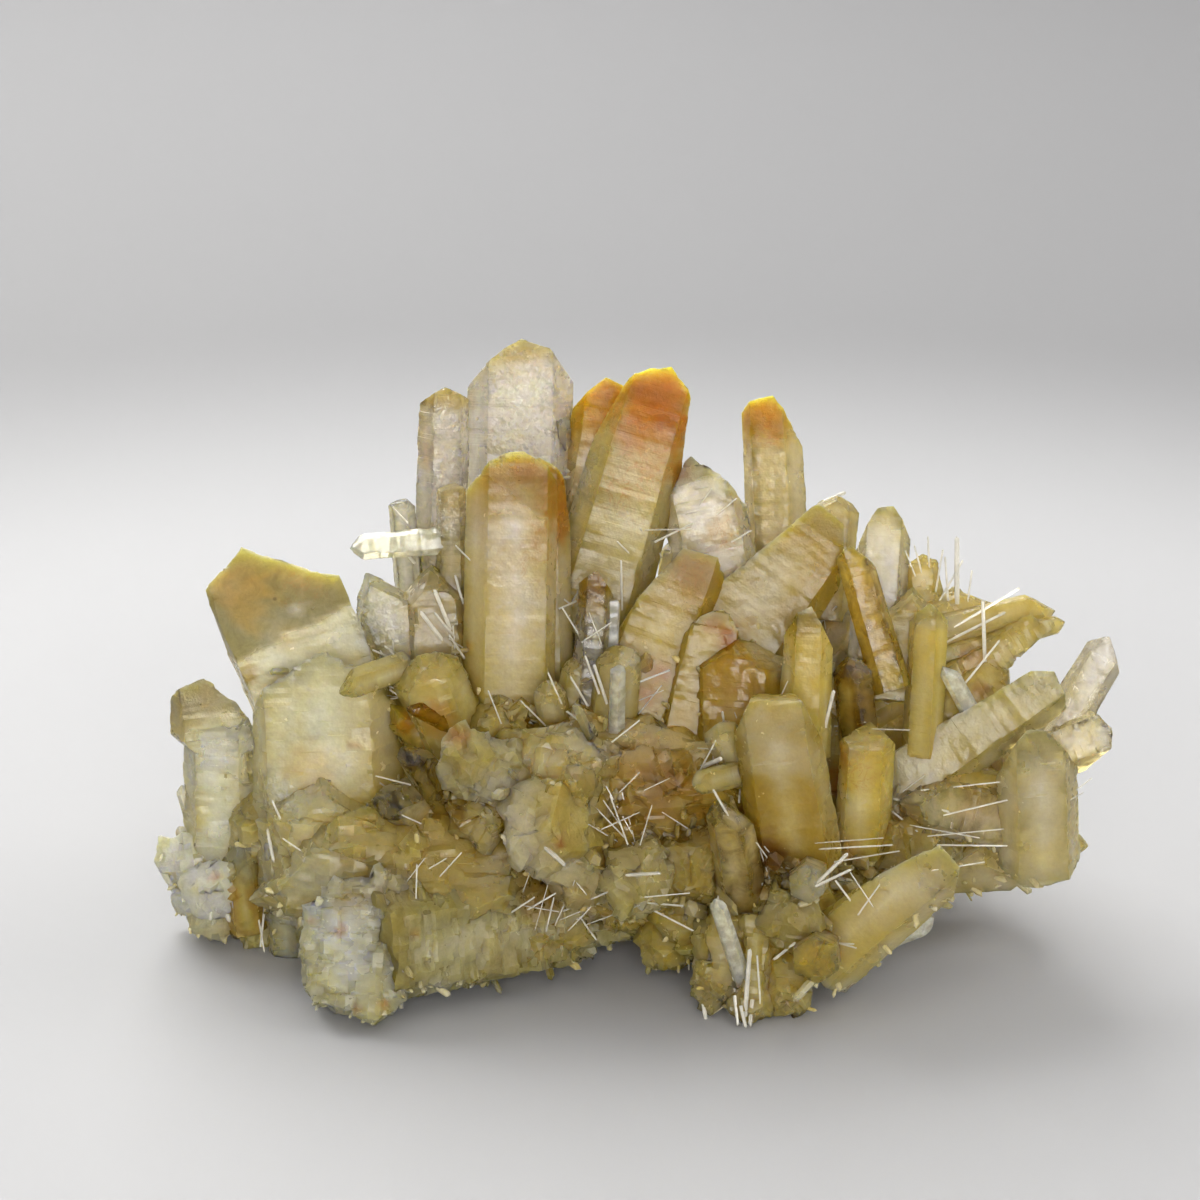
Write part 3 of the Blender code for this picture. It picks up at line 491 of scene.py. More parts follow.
# per crystal: body colour, tip colour, length of the tip colour in mm, clearness
# of the body, clearness of the tip, grain of the sides, grain of the tip, steps
LOOK = {
    "edge_cap": (srgb(216, 206, 174), CREAM, 5, 0.45, 0.5, 0.1, 0.5, 0.4),
    "edge_body": (srgb(218, 208, 178), MILK, 8, 0.30, 0.45, 0.05, 0.3, 0.4),
    "edge_spur": (PALE, PALE, 2, 0.75, 0.75, 0, 0, 0.3),
    "edge_spur_low": (PALE, PALE, 2, 0.8, 0.8, 0, 0, 0.3),
    "lump_left": (MILK, CREAM, 4, 0.3, 0.3, 0.6, 0.9, 0.2),
    "lump_foot": (MILK, CREAM, 4, 0.2, 0.3, 0.6, 0.9, 0.2),
    "lump_face": (MILK, MILK, 4, 0.2, 0.2, 0.5, 0.6, 0.2),
    "low_smooth": (DEEP, GREY, 4, 0.35, 0.45, 0, 0, 0.2),
    "low_plate": (CREAM, CREAM, 3, 0.4, 0.4, 0.1, 0.2, 0.3),
    "low_chip": (PALE, PALE, 2, 0.8, 0.8, 0, 0, 0.2),
    "low_back": (srgb(206, 188, 136), srgb(206, 188, 136), 3, 0.2, 0.2, 0.5, 0.5, 0.2),
    "blade": (CREAM, srgb(200, 184, 134), 8, 0.22, 0.16, 0.08, 0.55, 0.15),
    "blade_body": (CREAM, CREAM, 3, 0.25, 0.3, 0.02, 0.1, 0.15),
    "blade_foot": (STRAW, CREAM, 3, 0.25, 0.3, 0.1, 0.2, 0.2),
    "foot": (srgb(202, 200, 174), srgb(204, 197, 172), 3, 0.25, 0.25, 0.2, 0.4, 0.3),
    "foot_wing": (srgb(164, 156, 126), srgb(160, 148, 112), 3, 0.15, 0.2, 0.35, 0.6, 0.3),
    "foot_top": (srgb(204, 192, 150), srgb(204, 192, 150), 3, 0.15, 0.15, 0.7, 0.9, 0.3),
    "smoky": (srgb(188, 160, 100), srgb(180, 156, 104), 6, 0.55, 0.6, 0, 0, 0.2),
    "hex_clear": (STRAW, PALE, 4, 0.5, 0.6, 0, 0, 0.2),
    "yellow_dome": (srgb(226, 210, 150), srgb(222, 204, 140), 3, 0.3, 0.3, 0, 0, 0.2),
    "yellow_side": (srgb(216, 190, 112), srgb(216, 190, 112), 3, 0.4, 0.4, 0, 0, 0.2),
    "orange_blade": (GOLD, MANGO, 4, 0.5, 0.5, 0, 0, 0.2),
    "left_point": (MILK, PALE, 4, 0.5, 0.7, 0, 0, 0.5),
    "left_block": (PALE, PALE, 3, 0.5, 0.5, 0, 0, 0.5),
    "left_bright": (CREAM, PALE, 4, 0.35, 0.4, 0, 0, 1.0),
    "left_plate": (CREAM, PALE, 4, 0.4, 0.4, 0, 0, 0.5),
    "left_body": (CREAM, CREAM, 4, 0.4, 0.4, 0, 0, 0.4),
    "tall_left": (srgb(240, 233, 206), srgb(224, 208, 166), 5, 0.45, 0.5, 0, 0.1, 0.9),
    "tall_back": (srgb(246, 242, 226), srgb(230, 218, 182), 4, 0.4, 0.45, 0.0, 0.25, 0.7),
    "tall_front": (srgb(220, 204, 152), srgb(198, 166, 92), 8, 0.25, 0.3, 0, 0.2, 0.25),
    "tall_front_b": (CREAM, srgb(190, 148, 66), 12, 0.3, 0.3, 0.1, 0.3, 0.3),
    "tall_step": (CREAM, STRAW, 3, 0.45, 0.45, 0, 0, 1.0),
    "olive_cap": (PALE, OLIVE, 5.0, 0.6, 0.5, 0, 0.1, 0.3),
    "gold_back": (CREAM, GOLD, 9, 0.4, 0.05, 0, 0.2, 0.4),
    "mango": (srgb(212, 199, 146), MANGO, 11, 0.35, 0.02, 0.05, 0.3, 0.5),
    "grey_slope": (PALE, GREY, 3, 0.4, 0.4, 0, 0.5, 0.3),
    "post": (CREAM, GOLD, 6, 0.4, 0.15, 0.05, 0.5, 0.4),
    "broad_blade": (srgb(194, 170, 106), srgb(194, 170, 106), 4, 0.3, 0.35, 0.05, 0.5, 0.3),
    "brown_tip": (srgb(208, 184, 120), srgb(190, 150, 66), 7, 0.3, 0.3, 0.05, 0.4, 0.3),
    "round_back": (srgb(212, 186, 124), TAN, 3, 0.3, 0.35, 0, 0.3, 0.2),
    "orange_notch": (srgb(204, 172, 98), srgb(200, 160, 80), 4, 0.35, 0.35, 0, 0.1, 0.2),
    "grey_top": (srgb(214, 192, 128), srgb(186, 166, 108), 3, 0.2, 0.4, 0, 0.1, 0.3),
    "yellow_prism": (YELLOW, TAN, 2.5, 0.5, 0.45, 0, 0.1, 0.4),
    "white_back": (MILK, PALE, 4, 0.4, 0.4, 0, 0.4, 0.3),
    "milky_post": (srgb(214, 194, 134), GREY, 3, 0.25, 0.4, 0, 0.1, 0.3),
    "clear_lean": (PALE, PALE, 3, 0.7, 0.7, 0, 0, 0.3),
    "olive_small": (srgb(186, 160, 92), srgb(180, 156, 96), 3, 0.5, 0.55, 0, 0, 0.2),
    "right_big": (srgb(212, 200, 160), srgb(204, 196, 164), 6, 0.35, 0.4, 0.05, 0.2, 0.3),
    "right_glass": (PALE, MILK, 6, 0.65, 0.7, 0, 0.05, 0.3),
    "right_stub": (CREAM, PALE, 4, 0.5, 0.5, 0, 0.2, 0.3),
    "right_front": (srgb(212, 200, 164), srgb(204, 196, 166), 6, 0.3, 0.4, 0.05, 0.25, 0.3),
    "big_centre": (srgb(172, 146, 88), srgb(176, 156, 106), 5, 0.2, 0.25, 0.03, 0.2, 0.2),
    "yellow_pale": (srgb(228, 204, 132), srgb(220, 200, 140), 3, 0.25, 0.35, 0.1, 0.2, 0.2),
    "bundle": (CREAM, CREAM, 3, 0.45, 0.5, 0, 0.1, 0.5),
    "front_lean": (srgb(206, 188, 136), srgb(206, 192, 150), 6, 0.25, 0.35, 0.03, 0.3, 0.3),
    "lean_spur": (CREAM, PALE, 3, 0.6, 0.6, 0, 0, 0.3),
    "end_on_top": (CREAM, PALE, 3, 0.35, 0.4, 0, 0.05, 0.2),
    "end_on_low": (CREAM, YELLOW, 3, 0.4, 0.45, 0, 0.05, 0.2),
    "grey_knob": (srgb(208, 194, 152), srgb(208, 194, 152), 3, 0.3, 0.3, 0.2, 0.4, 0.2),
    "clear_tan": (STRAW, STRAW, 3, 0.5, 0.55, 0, 0.05, 0.2),
    "rough_pale": (srgb(190, 172, 126), CREAM, 3, 0.2, 0.2, 0.5, 0.7, 0.2),
    "rough_pale_low": (srgb(196, 180, 134), CREAM, 3, 0.2, 0.2, 0.5, 0.7, 0.2),
    "brown_mass": (srgb(188, 158, 96), srgb(188, 158, 96), 3, 0.3, 0.3, 0.2, 0.3, 0.2),
    "brown_mass_b": (srgb(178, 148, 86), srgb(178, 148, 86), 3, 0.3, 0.3, 0.4, 0.5, 0.2),
    "mid_grey": (srgb(206, 194, 156), srgb(198, 184, 140), 3, 0.3, 0.3, 0.5, 0.6, 0.2),
    "tan_lump": (srgb(196, 176, 126), srgb(196, 176, 126), 3, 0.3, 0.3, 0.1, 0.2, 0.2),
    "grey_lump": (srgb(204, 192, 152), srgb(204, 192, 152), 3, 0.25, 0.25, 0.2, 0.3, 0.2),
}
BACK_LOOKS = [
    (CREAM, STRAW, 4, 0.35, 0.45, 0, 0.1, 0.4), (CREAM, GOLD, 5, 0.35, 0.4, 0, 0.15, 0.4),
    (PALE, CREAM, 4, 0.4, 0.5, 0, 0.05, 0.4), (STRAW, TAN, 4, 0.3, 0.35, 0.05, 0.3, 0.3),
    (CREAM, CREAM, 4, 0.45, 0.55, 0, 0, 0.6), (PALE, MILK, 5, 0.3, 0.4, 0.05, 0.2, 0.3)]
PLAIN = (srgb(212, 194, 144), STRAW, 3, 0.3, 0.35, 0.08, 0.2, 0.25)

GROUPS = {
    "quartz_left": lambda n, c: c[0] < -27,
    "quartz_crown": lambda n, c: c[2] > 42,
    "quartz_right": lambda n, c: c[0] > 14,
    "quartz_middle": lambda n, c: True,
}


def look_of(name):
    if name in LOOK:
        return LOOK[name]
    if name.startswith(("back_", "flank_")) and name != "back_small":
        return BACK_LOOKS[seeded(name).randrange(len(BACK_LOOKS))]
    return PLAIN


# ----------------------------------------------------------------------- noise
def lattice(i, j, k, seed):
    """A repeatable number from -1 to 1 for each lattice point."""
    h = (i * 374761393 + j * 668265263 + k * 2147483647 + seed * 1274126177) & 0xFFFFFFFF
    h = ((h ^ (h >> 13)) * 1274126177) & 0xFFFFFFFF
    h = ((h ^ (h >> 16)) * 2246822519) & 0xFFFFFFFF
    return (h ^ (h >> 15)).astype(np.float64) / 2147483647.5 - 1.0


def field(p, seed=0):
    """Smooth noise from -1 to 1 at points p (n, 3), one cell to a unit."""
    base = np.floor(p).astype(np.int64)
    f = p - base
    f = f * f * f * (f * (f * 6 - 15) + 10)
    out = 0.0
    for a in (0, 1):
        wa = f[:, 0] if a else 1 - f[:, 0]
        for b in (0, 1):
            wb = wa * (f[:, 1] if b else 1 - f[:, 1])
            for c in (0, 1):
                w = wb * (f[:, 2] if c else 1 - f[:, 2])
                out = out + w * lattice(base[:, 0] + a, base[:, 1] + b, base[:, 2] + c, seed)
    return out


def clouds(p, seed=0, octaves=3):
    out, size, total = 0.0, 1.0, 0.0
    for o in range(octaves):
        out = out + field(p * (2.03 ** o) + 17.3 * o, seed + o) * size
        total += size
        size *= 0.5
    return out / total


# ------------------------------------------------------------- convex polyhedra
def convex(planes, centre, reach):
    """Cut a cube by the planes: vertices (n, 3) and [(vertex ids, plane id)]."""
    c, r = np.array(centre), reach
    corner = [np.array((x, y, z)) * r + c for x in (-1, 1) for y in (-1, 1) for z in (-1, 1)]
    quads = [(0, 1, 3, 2), (4, 6, 7, 5), (0, 4, 5, 1), (2, 3, 7, 6), (0, 2, 6, 4), (1, 5, 7, 3)]
    points = list(corner)
    faces = [(list(q), -1) for q in quads]
    for pid, (co, no) in enumerate(planes):
        co, no = np.array(co), np.array(no)
        d = [float((p - co) @ no) for p in points]
        if max(d[i] for f, _ in faces for i in f) < 1e-6:
            continue
        cuts, out, rim = {}, [], []
        for f, k in faces:
            new, ends = [], []
            for i, a in enumerate(f):
                b = f[(i + 1) % len(f)]
                if d[a] <= 0:
                    new.append(a)
                if (d[a] <= 0) != (d[b] <= 0):
                    key = (a, b) if a < b else (b, a)
                    if key not in cuts:
                        t = d[key[0]] / (d[key[0]] - d[key[1]])
                        cuts[key] = len(points)
                        points.append(points[key[0]] + (points[key[1]] - points[key[0]]) * t)
                    new.append(cuts[key])
                    ends.append((cuts[key], d[a] <= 0))
            if len(new) > 2:
                out.append((new, k))
            if len(ends) == 2:
                # the rim runs against the face, so that the cap faces out
                leave = [e for e, inside in ends if inside][0]
                enter = [e for e, inside in ends if not inside][0]
                rim.append((enter, leave))
        if not rim:
            continue
        follow = dict(rim)
        start = rim[0][0]
        loop, at = [start], follow[start]
        while at != start and len(loop) < 200:
            loop.append(at)
            at = follow.get(at, start)
        faces = out
        if len(loop) > 2:
            faces.append((loop, pid))
    used = sorted({i for f, _ in faces for i in f})
    index = {u: n for n, u in enumerate(used)}
    v = np.array([points[u] for u in used])
    faces = [([index[i] for i in f], k) for f, k in faces]
    # merge points that several planes made in one place
    order = {}
    remap = []
    for i, p in enumerate(v):
        key = tuple(np.round(p / 1e-4).astype(int))
        remap.append(order.setdefault(key, i))
    clean = []
    for f, k in faces:
        g = [remap[i] for i in f]
        g = [a for a, b in zip(g, g[1:] + g[:1]) if a != b]
        if len(g) > 2:
            clean.append((g, k))
    return v, clean


def outward(v, faces):
    c = v[[i for f, _ in faces for i in f]].mean(0)
    out = []
    for f, k in faces:
        a = v[f]
        n = np.zeros(3)
        for i in range(1, len(f) - 1):
            n += np.cross(a[i] - a[0], a[i + 1] - a[0])
        if n @ (a.mean(0) - c) < 0:
            f = f[::-1]
        out.append((f, k))
    return out


def sliced(v, faces, direction, levels):
    """Cut every face along the levels of a direction, with shared points."""
    if not len(levels):
        return v, faces
    levels = sorted(levels)
    pts = [tuple(p) for p in v]
    h = [float(x) for x in v @ np.array(direction)]
    lo, hi = min(h), max(h)
    keep = []
    hs = np.array(h)
    for x in levels:
        if lo + 0.02 < x < hi - 0.02 and (not keep or x - keep[-1] > 0.02):
            while np.abs(hs - x).min() < 2e-4:
                x += 5e-4
            keep.append(x)
    levels = keep
    if not levels:
        return v, faces
    made = {}

    def cut(a, b, k):
        if a > b:
            a, b = b, a
        key = (a, b, k)
        i = made.get(key)
        if i is None:
            t = (levels[k] - h[a]) / (h[b] - h[a])
            p, q = pts[a], pts[b]
            i = made[key] = len(pts)
            pts.append((p[0] + (q[0] - p[0]) * t, p[1] + (q[1] - p[1]) * t, p[2] + (q[2] - p[2]) * t))
            h.append(levels[k])
        return i

    from bisect import bisect_right
    out = []
    for f, k in faces:
        fh = [h[i] for i in f]
        first, last = bisect_right(levels, min(fh)), bisect_right(levels, max(fh))
        if first == last:
            out.append((f, k))
            continue
        n = len(f)
        low = fh.index(min(fh))
        high = fh.index(max(fh))
        # chains from the lowest to the highest point, both ways round
        right, i = [f[low]], low
        while i != high:
            i = (i + 1) % n
            right.append(f[i])
        left, i = [f[low]], low
        while i != high:
            i = (i - 1) % n
            left.append(f[i])

        def slabs(chain):
            parts = [[] for _ in range(last - first + 1)]
            parts[0].append(chain[0])
            slot = first
            for a, b in zip(chain, chain[1:]):
                while slot < last and h[b] > levels[slot]:
                    c = cut(a, b, slot)
                    parts[slot - first].append(c)
                    slot += 1
                    parts[slot - first].append(c)
                parts[slot - first].append(b)
            return parts

        for a, b in zip(slabs(right), slabs(left)):
            g = a + b[::-1]
            g = [x for x, y in zip(g, g[1:] + g[:1]) if x != y]
            if len(g) > 2 and len(set(g)) == len(g):
                out.append((g, k))
    return np.array(pts), out


# -------------------------------------------------------------- crystal surface
FINE = 1.0     # coarser while trying things
LUMPY = ("lump_", "foot_tail", "foot_top", "mid_grey", "mid_pale", "mid_fill", "rough_pale", "brown_mass", "tan_lump",
         "grey_lump", "grey_knob", "under_knob", "base_knob", "lower_right", "right_under", "low_back", "middle", "rest_foot", "blade_foot")


# crystals whose faces are broken or overgrown, and by how much in mm
BROKEN = {"foot": 0.8, "foot_wing": 0.7, "blade_body": 0.22, "edge_body": 0.2, "edge_cap": 0.18, "big_centre": 0.12, "bundle": 0.3,
          "right_front": 0.12, "round_back": 0.2, "orange_notch": 0.25, "fan_wide": 0.3, "fan_end": 0.35, "right_stub": 0.15,
          "left_body": 0.2, "left_plate": 0.15, "yellow_dome": 0.35, "yellow_side": 0.25, "low_plate": 0.2, "ridge_right": 0.2,
          "grey_slope": 0.2, "blade": 0.12, "yellow_pale": 0.12, "spike_group": 0.3, "spike_group_b": 0.3, "mid_olive": 0.15}


def flats(p, size, seed):
    """Relief of broken stone, about -1 to 1: flat patches at different tilts."""
    q = p / size
    base = np.floor(q).astype(np.int64)
    best, out = np.full(len(q), 1e9), np.zeros(len(q))
    for i in (-1, 0, 1):
        for j in (-1, 0, 1):
            for k in (-1, 0, 1):
                c = base + np.array((i, j, k))
                r = [lattice(c[:, 0], c[:, 1], c[:, 2], seed + a * 7) for a in range(7)]
                s = c + 0.5 + 0.42 * np.stack(r[:3], 1)
                d = ((q - s) ** 2).sum(1)
                value = ((q - s) * np.stack(r[3:6], 1)).sum(1) + 0.55 * r[6]
                near = d < best
                best, out = np.where(near, d, best), np.where(near, value, out)
    return np.clip(out, -1.2, 1.2)


def spaced(lo, hi, step, rng, spread=0.35):
    out, x = [], lo + step * rng.uniform(0.2, 0.8)
    while x < hi:
        out.append(x)
        x += step * rng.uniform(1 - spread, 1 + spread)
    return out


def detailed(name, planes, frame_, look, reach):
    """One crystal with its real surface: vertices in mm and faces."""
    rng = seeded(name + "s")
    seed = rng.randrange(100000)
    mid, axis, across, near, length, half_w, half_t = frame_
    mid, axis, across, near = (np.array(x) for x in (mid, axis, across, near))
    planes = list(planes) + [(Vector((0, 0, 0)), Vector((0, 0, -1)))]
    rest = len(planes) - 1
    v, faces = convex(planes, mid, reach)
    faces = outward(v, faces)
    size = half_w * 2
    # columns along the crystal, then steps across it
    cell = (0.55 + 0.030 * size) * FINE
    for direction in (across, near):
        h = v @ direction
        v, faces = sliced(v, faces, direction, spaced(h.min(), h.max(), cell, rng))
    h = (v - mid) @ axis
    body, tip, tip_len, clear_b, clear_t, grain_b, grain_t, steps = look
    top = h.max()
    centres, rings = [], []
    z = h.min() + 0.6
    while z < top - 0.25:
        centres.append(z)
        near_tip = z > top - tip_len - half_w
        w = rng.uniform(0.05, 0.11)
        rings += [z - w / 2, z + w / 2] if steps > 0.12 else [z]
        gap = rng.uniform(0.35, 1.5) * (0.75 if near_tip else 1.0) * (0.8 + size * 0.02)
        if steps > 0.6:
            gap *= 0.7
        while gap > 0.95 * FINE:          # long treads are still divided
            part = rng.uniform(0.6, 0.9) * FINE
            z += part
            gap -= part
            rings.append(z)
        z += max(gap, 0.2)
    if FINE > 1:
        rings = rings[::2]
    v, faces = sliced(v, faces, axis, (np.array(rings) + float(mid @ axis)).tolist())
    # which planes meet at each vertex
    fv = np.concatenate([np.array(f) for f, _ in faces])
    fp = np.concatenate([np.full(len(f), k) for f, k in faces])
    pairs = np.unique(np.stack([fv, fp], 1), axis=0)
    vi, pi = pairs[:, 0], pairs[:, 1]
    normal = np.array([tuple(n) for _, n in planes])
    normal = np.vstack([normal, [[0, 0, 0]]])        # id -1, never used
    n = normal[pi]
    p = v[vi]
    local = np.stack([(p - mid) @ across, (p - mid) @ near, (p - mid) @ axis], 1)
    tilt = np.abs(n @ axis)
    side = tilt < 0.25
    z = local[:, 2]
    amount = np.zeros(len(pi))
    # growth steps, of a different height on every side face
    tread = np.searchsorted(np.array(centres), z)
    for k in np.unique(pi[side]):
        srng = random.Random(seed + int(k) * 31)
        level, walk = [], 0.0
        for _ in range(len(centres) + 2):
            walk = walk * 0.82 + srng.gauss(0, 0.055)
            jump = srng.uniform(-0.13, 0.13) if srng.random() < 0.16 else 0.0
            level.append(walk + jump)
        level = np.clip(np.array(level), -0.2, 0.12)
        m = side & (pi == k)
        along = np.cross(normal[k], axis)
        s = p[m] @ along
        q = np.stack([s / 3.2 + k * 7.7, tread[m] * 0.37, np.full(m.sum(), 0.5)], 1)
        part = np.clip(0.75 + 0.8 * field(q, seed), 0.1, 1.3)
        amount[m] += level[tread[m]] * part * steps
    # gentle swelling of every face, pits and grains near the tip
    size_term = min(1.0, half_w / 3.0)
    amount += 0.10 * size_term * clouds(p / 4.5, seed + 3, 2)
    if name.startswith(LUMPY):
        # ragged masses with no clear crystal faces
        amount += min(0.8, half_w * 0.16) * clouds(p / 4.0, seed + 41, 2)
        amount += min(1.0, half_w * 0.2) * flats(p, 3.4, seed + 43) + 0.26 * flats(p, 1.3, seed + 47)
    if name in BROKEN:
        amount += BROKEN[name] * flats(p, 2.4, seed + 51) + 0.35 * BROKEN[name] * flats(p, 1.0, seed + 53)
    amount += 0.025 * clouds(p / 1.1, seed + 5, 2)
    from_tip = top - z
    t = np.clip(1.0 - from_tip / max(tip_len, 1.0), 0, 1)
    t = np.where(side, t, np.maximum(t, 0.6))
    grain = grain_b + (grain_t - grain_b) * t
    rough = np.abs(clouds(p / 0.95, seed + 9, 2))
    amount += grain * (0.20 * (0.35 - rough) + 0.10 * clouds(p / 0.6, seed + 11, 1))
    # worn edges: where faces meet the crystal is a little short, in places chipped
    count = np.bincount(vi, minlength=len(v))
    edge = count[vi] > 1
    chip = np.clip(clouds(p / 1.6, seed + 21, 2) - 0.22, 0, 1) * 1.1
    amount -= np.where(edge, min(0.05, half_w * 0.02) + chip * min(0.45, half_w * 0.12), 0)
    amount[pi == rest] = 0.0
    # move each vertex so that it obeys all its faces
    A = np.zeros((len(v), 3, 3))
    b = np.zeros((len(v), 3))
    np.add.at(A, vi, n[:, :, None] * n[:, None, :])
    np.add.at(b, vi, n * amount[:, None])
    A += np.eye(3) * 0.03
    move = np.linalg.solve(A, b[:, :, None])[:, :, 0]
    on_rest = np.zeros(len(v), bool)
    on_rest[vi[pi == rest]] = True
    v = v + move
    v[:, 2] = np.where(on_rest, 0.0, np.maximum(v[:, 2], 0.004))
    return v, [f for f, _ in faces]


def mesh_object(name, v, faces, collection, scale=MM):
    mesh = bpy.data.meshes.new(name)
    v = (np.asarray(v, float) - np.array(CENTRE)) * scale
    flat = np.fromiter((i for f in faces for i in f), np.int32)
    sizes = np.fromiter((len(f) for f in faces), np.int32)
    starts = np.concatenate([[0], np.cumsum(sizes)[:-1]]).astype(np.int32)
    mesh.vertices.add(len(v))
    mesh.vertices.foreach_set("co", v.astype(np.float32).ravel())
    mesh.loops.add(len(flat))
    mesh.loops.foreach_set("vertex_index", flat)
    mesh.polygons.add(len(sizes))
    mesh.polygons.foreach_set("loop_start", starts)
    mesh.polygons.foreach_set("loop_total", sizes)
    mesh.update(calc_edges=True)
    obj = bpy.data.objects.new(name, mesh)
    collection.objects.link(obj)
    return obj


def all_crystals():
    """name, planes, frame and reach of every convex body."""
    out = []
    for row in CRYSTALS:
        planes, fr = crystal_planes(*row)
        out.append((row[0], planes, fr, fr[4] + 30.0))
    for name, top, foot, width, ratio, roll in back_crystals() + flank_crystals():
        planes, fr = free_planes(name, top, foot, width, ratio, roll)
        out.append((name, planes, fr, fr[4] + 30.0))
    rng = random.Random(SEED + 1)
    for group, rows in (("middle", MIDDLE), ("rest_foot", FEET)):
        for i, (c, r, n) in enumerate(rows):
            planes = lump_planes(rng, Vector(c), r, n)
            fr = (Vector(c), Vector((0, 0, 1)), Vector((1, 0, 0)), Vector((0, -1, 0)), 2 * r[2], r[0], r[1])
            out.append(("%s_%d" % (group, i), planes, fr, max(r) * 2))
    return out


def lump_planes(rng, centre, radii, count):
    planes = []
    golden = math.pi * (3 - math.sqrt(5))
    for i in range(count):
        z = 1 - 2 * (i + 0.5) / count
        r = math.sqrt(1 - z * z)
        a = golden * i + rng.uniform(-0.25, 0.25)
        n = Vector((r * math.cos(a) / radii[0], r * math.sin(a) / radii[1], z / radii[2])).normalized()
        d = math.sqrt(sum((n[k] * radii[k]) ** 2 for k in range(3))) * rng.uniform(0.86, 1.0)
        planes.append((centre + n * d, n))
    return planes


# ------------------------------------------------------------------- thickness
class Bulk:
    """How much quartz lies round each point, on a grid blurred by a few mm."""

    def __init__(self, crystals, cell=1.0):
        self.low = np.array((-74.0, -46.0, -6.0))
        self.cell = cell
        shape = (148, 98, 98)
        g = np.stack(np.meshgrid(*[np.arange(s) * cell + l for s, l in zip(shape, self.low)], indexing="ij"), -1)
        full = np.zeros(shape, bool)
        for name, planes, fr, reach in crystals:
            mid = np.array(fr[0])
            r = fr[4] / 2 + max(fr[5], fr[6]) + 6
            lo = np.maximum(((mid - r - self.low) / cell).astype(int), 0)
            hi = np.minimum(((mid + r - self.low) / cell).astype(int) + 1, shape)
            if (hi <= lo).any():
                continue
            part = g[lo[0]:hi[0], lo[1]:hi[1], lo[2]:hi[2]]
            inside = np.ones(part.shape[:3], bool)
            for co, no in planes:
                inside &= (part - np.array(co)) @ np.array(no) < 0
            full[lo[0]:hi[0], lo[1]:hi[1], lo[2]:hi[2]] |= inside
        full &= g[..., 2] > 0
        self.full = full
        self.near = self.blurred(full, 3)
        self.wide = self.blurred(full, 8)

    @staticmethod
    def blurred(grid, r):
        out = grid.astype(np.float64)
        for _ in range(2):
            for axis in range(3):
                pad = [(0, 0)] * 3
                pad[axis] = (r + 1, r)
                c = np.cumsum(np.pad(out, pad, mode="edge"), axis=axis)
                a = np.take(c, range(2 * r + 1, c.shape[axis]), axis=axis)
                b = np.take(c, range(0, c.shape[axis] - 2 * r - 1), axis=axis)
                out = (a - b) / (2 * r + 1)
        return out

    def at(self, p, grid):
        q = (p - self.low) / self.cell
        i = np.clip(np.floor(q).astype(int), 0, np.array(grid.shape) - 2)
        f = np.clip(q - i, 0, 1)
        out = 0.0
        for a in (0, 1):
            for b in (0, 1):
                for c in (0, 1):
                    w = (f[:, 0] if a else 1 - f[:, 0]) * (f[:, 1] if b else 1 - f[:, 1]) * (f[:, 2] if c else 1 - f[:, 2])
                    out = out + w * grid[i[:, 0] + a, i[:, 1] + b, i[:, 2] + c]
        return out


# ------------------------------------------------------------------ one mesh
def arrays(mesh):
    v = np.zeros(len(mesh.vertices) * 3)
    mesh.vertices.foreach_get("co", v)
    loops = np.zeros(len(mesh.loops), np.int64)
    mesh.loops.foreach_get("vertex_index", loops)
    start = np.zeros(len(mesh.polygons), np.int64)
    total = np.zeros(len(mesh.polygons), np.int64)
    mesh.polygons.foreach_get("loop_start", start)
    mesh.polygons.foreach_get("loop_total", total)
    return v.reshape(-1, 3), loops, start, total


def labelled(count, a, b):
    """Number of the connected part that each vertex is in."""
    label = np.arange(count)
    while True:
        low = np.minimum(label[a], label[b])
        new = label.copy()
        np.minimum.at(new, a, low)
        np.minimum.at(new, b, low)
        new = new[new]
        if (new == label).all():
            return label
        label = new


def joined(name, parts):
    """Union of closed meshes [(v, faces)], with any sealed hollow dropped."""
    room = bpy.data.collections.new(name + "_parts")
    bpy.context.scene.collection.children.link(room)
    objs = [mesh_object("%s_%d" % (name, i), v, f, room) for i, (v, f) in enumerate(parts)]
    base = objs[0]
    room.objects.unlink(base)
    bpy.context.scene.collection.objects.link(base)
    if len(objs) > 1:
        mod = base.modifiers.new("join", "BOOLEAN")
        mod.operation = "UNION"
        mod.operand_type = "COLLECTION"
        mod.collection = room
        mod.solver = "MANIFOLD"
    mesh = bpy.data.meshes.new_from_object(base.evaluated_get(bpy.context.evaluated_depsgraph_get()))
    for o in objs:
        m = o.data
        bpy.data.objects.remove(o)
        bpy.data.meshes.remove(m)
    bpy.data.collections.remove(room)
    v, loops, start, total = arrays(mesh)
    bpy.data.meshes.remove(mesh)
    nxt = np.arange(len(loops)) + 1
    ends = start + total - 1
    nxt[ends] = start
    label = labelled(len(v), loops, loops[nxt])
    face_label = label[loops[start]]
    # signed volume of each part, by fans
    poly = np.repeat(np.arange(len(start)), total)
    a = v[loops[start]][poly]
    b, c = v[loops], v[loops[nxt]]
    vol = np.einsum("ij,ij->i", a, np.cross(b, c)) / 6
    vols = np.bincount(label[loops], weights=vol, minlength=len(v))
    keep = vols[face_label] > 1e-13
    faces = [loops[s:s + t].tolist() for s, t in zip(start[keep], total[keep])]
    used = np.unique(np.concatenate([np.array(f) for f in faces]))
    index = np.full(len(v), -1)
    index[used] = np.arange(len(used))
    faces = [[int(index[i]) for i in f] for f in faces]
    return v[used] / MM + np.array(CENTRE), faces


def to_linear_mix(a, b, t):
    return a * (1 - t[:, None]) + b * t[:, None]


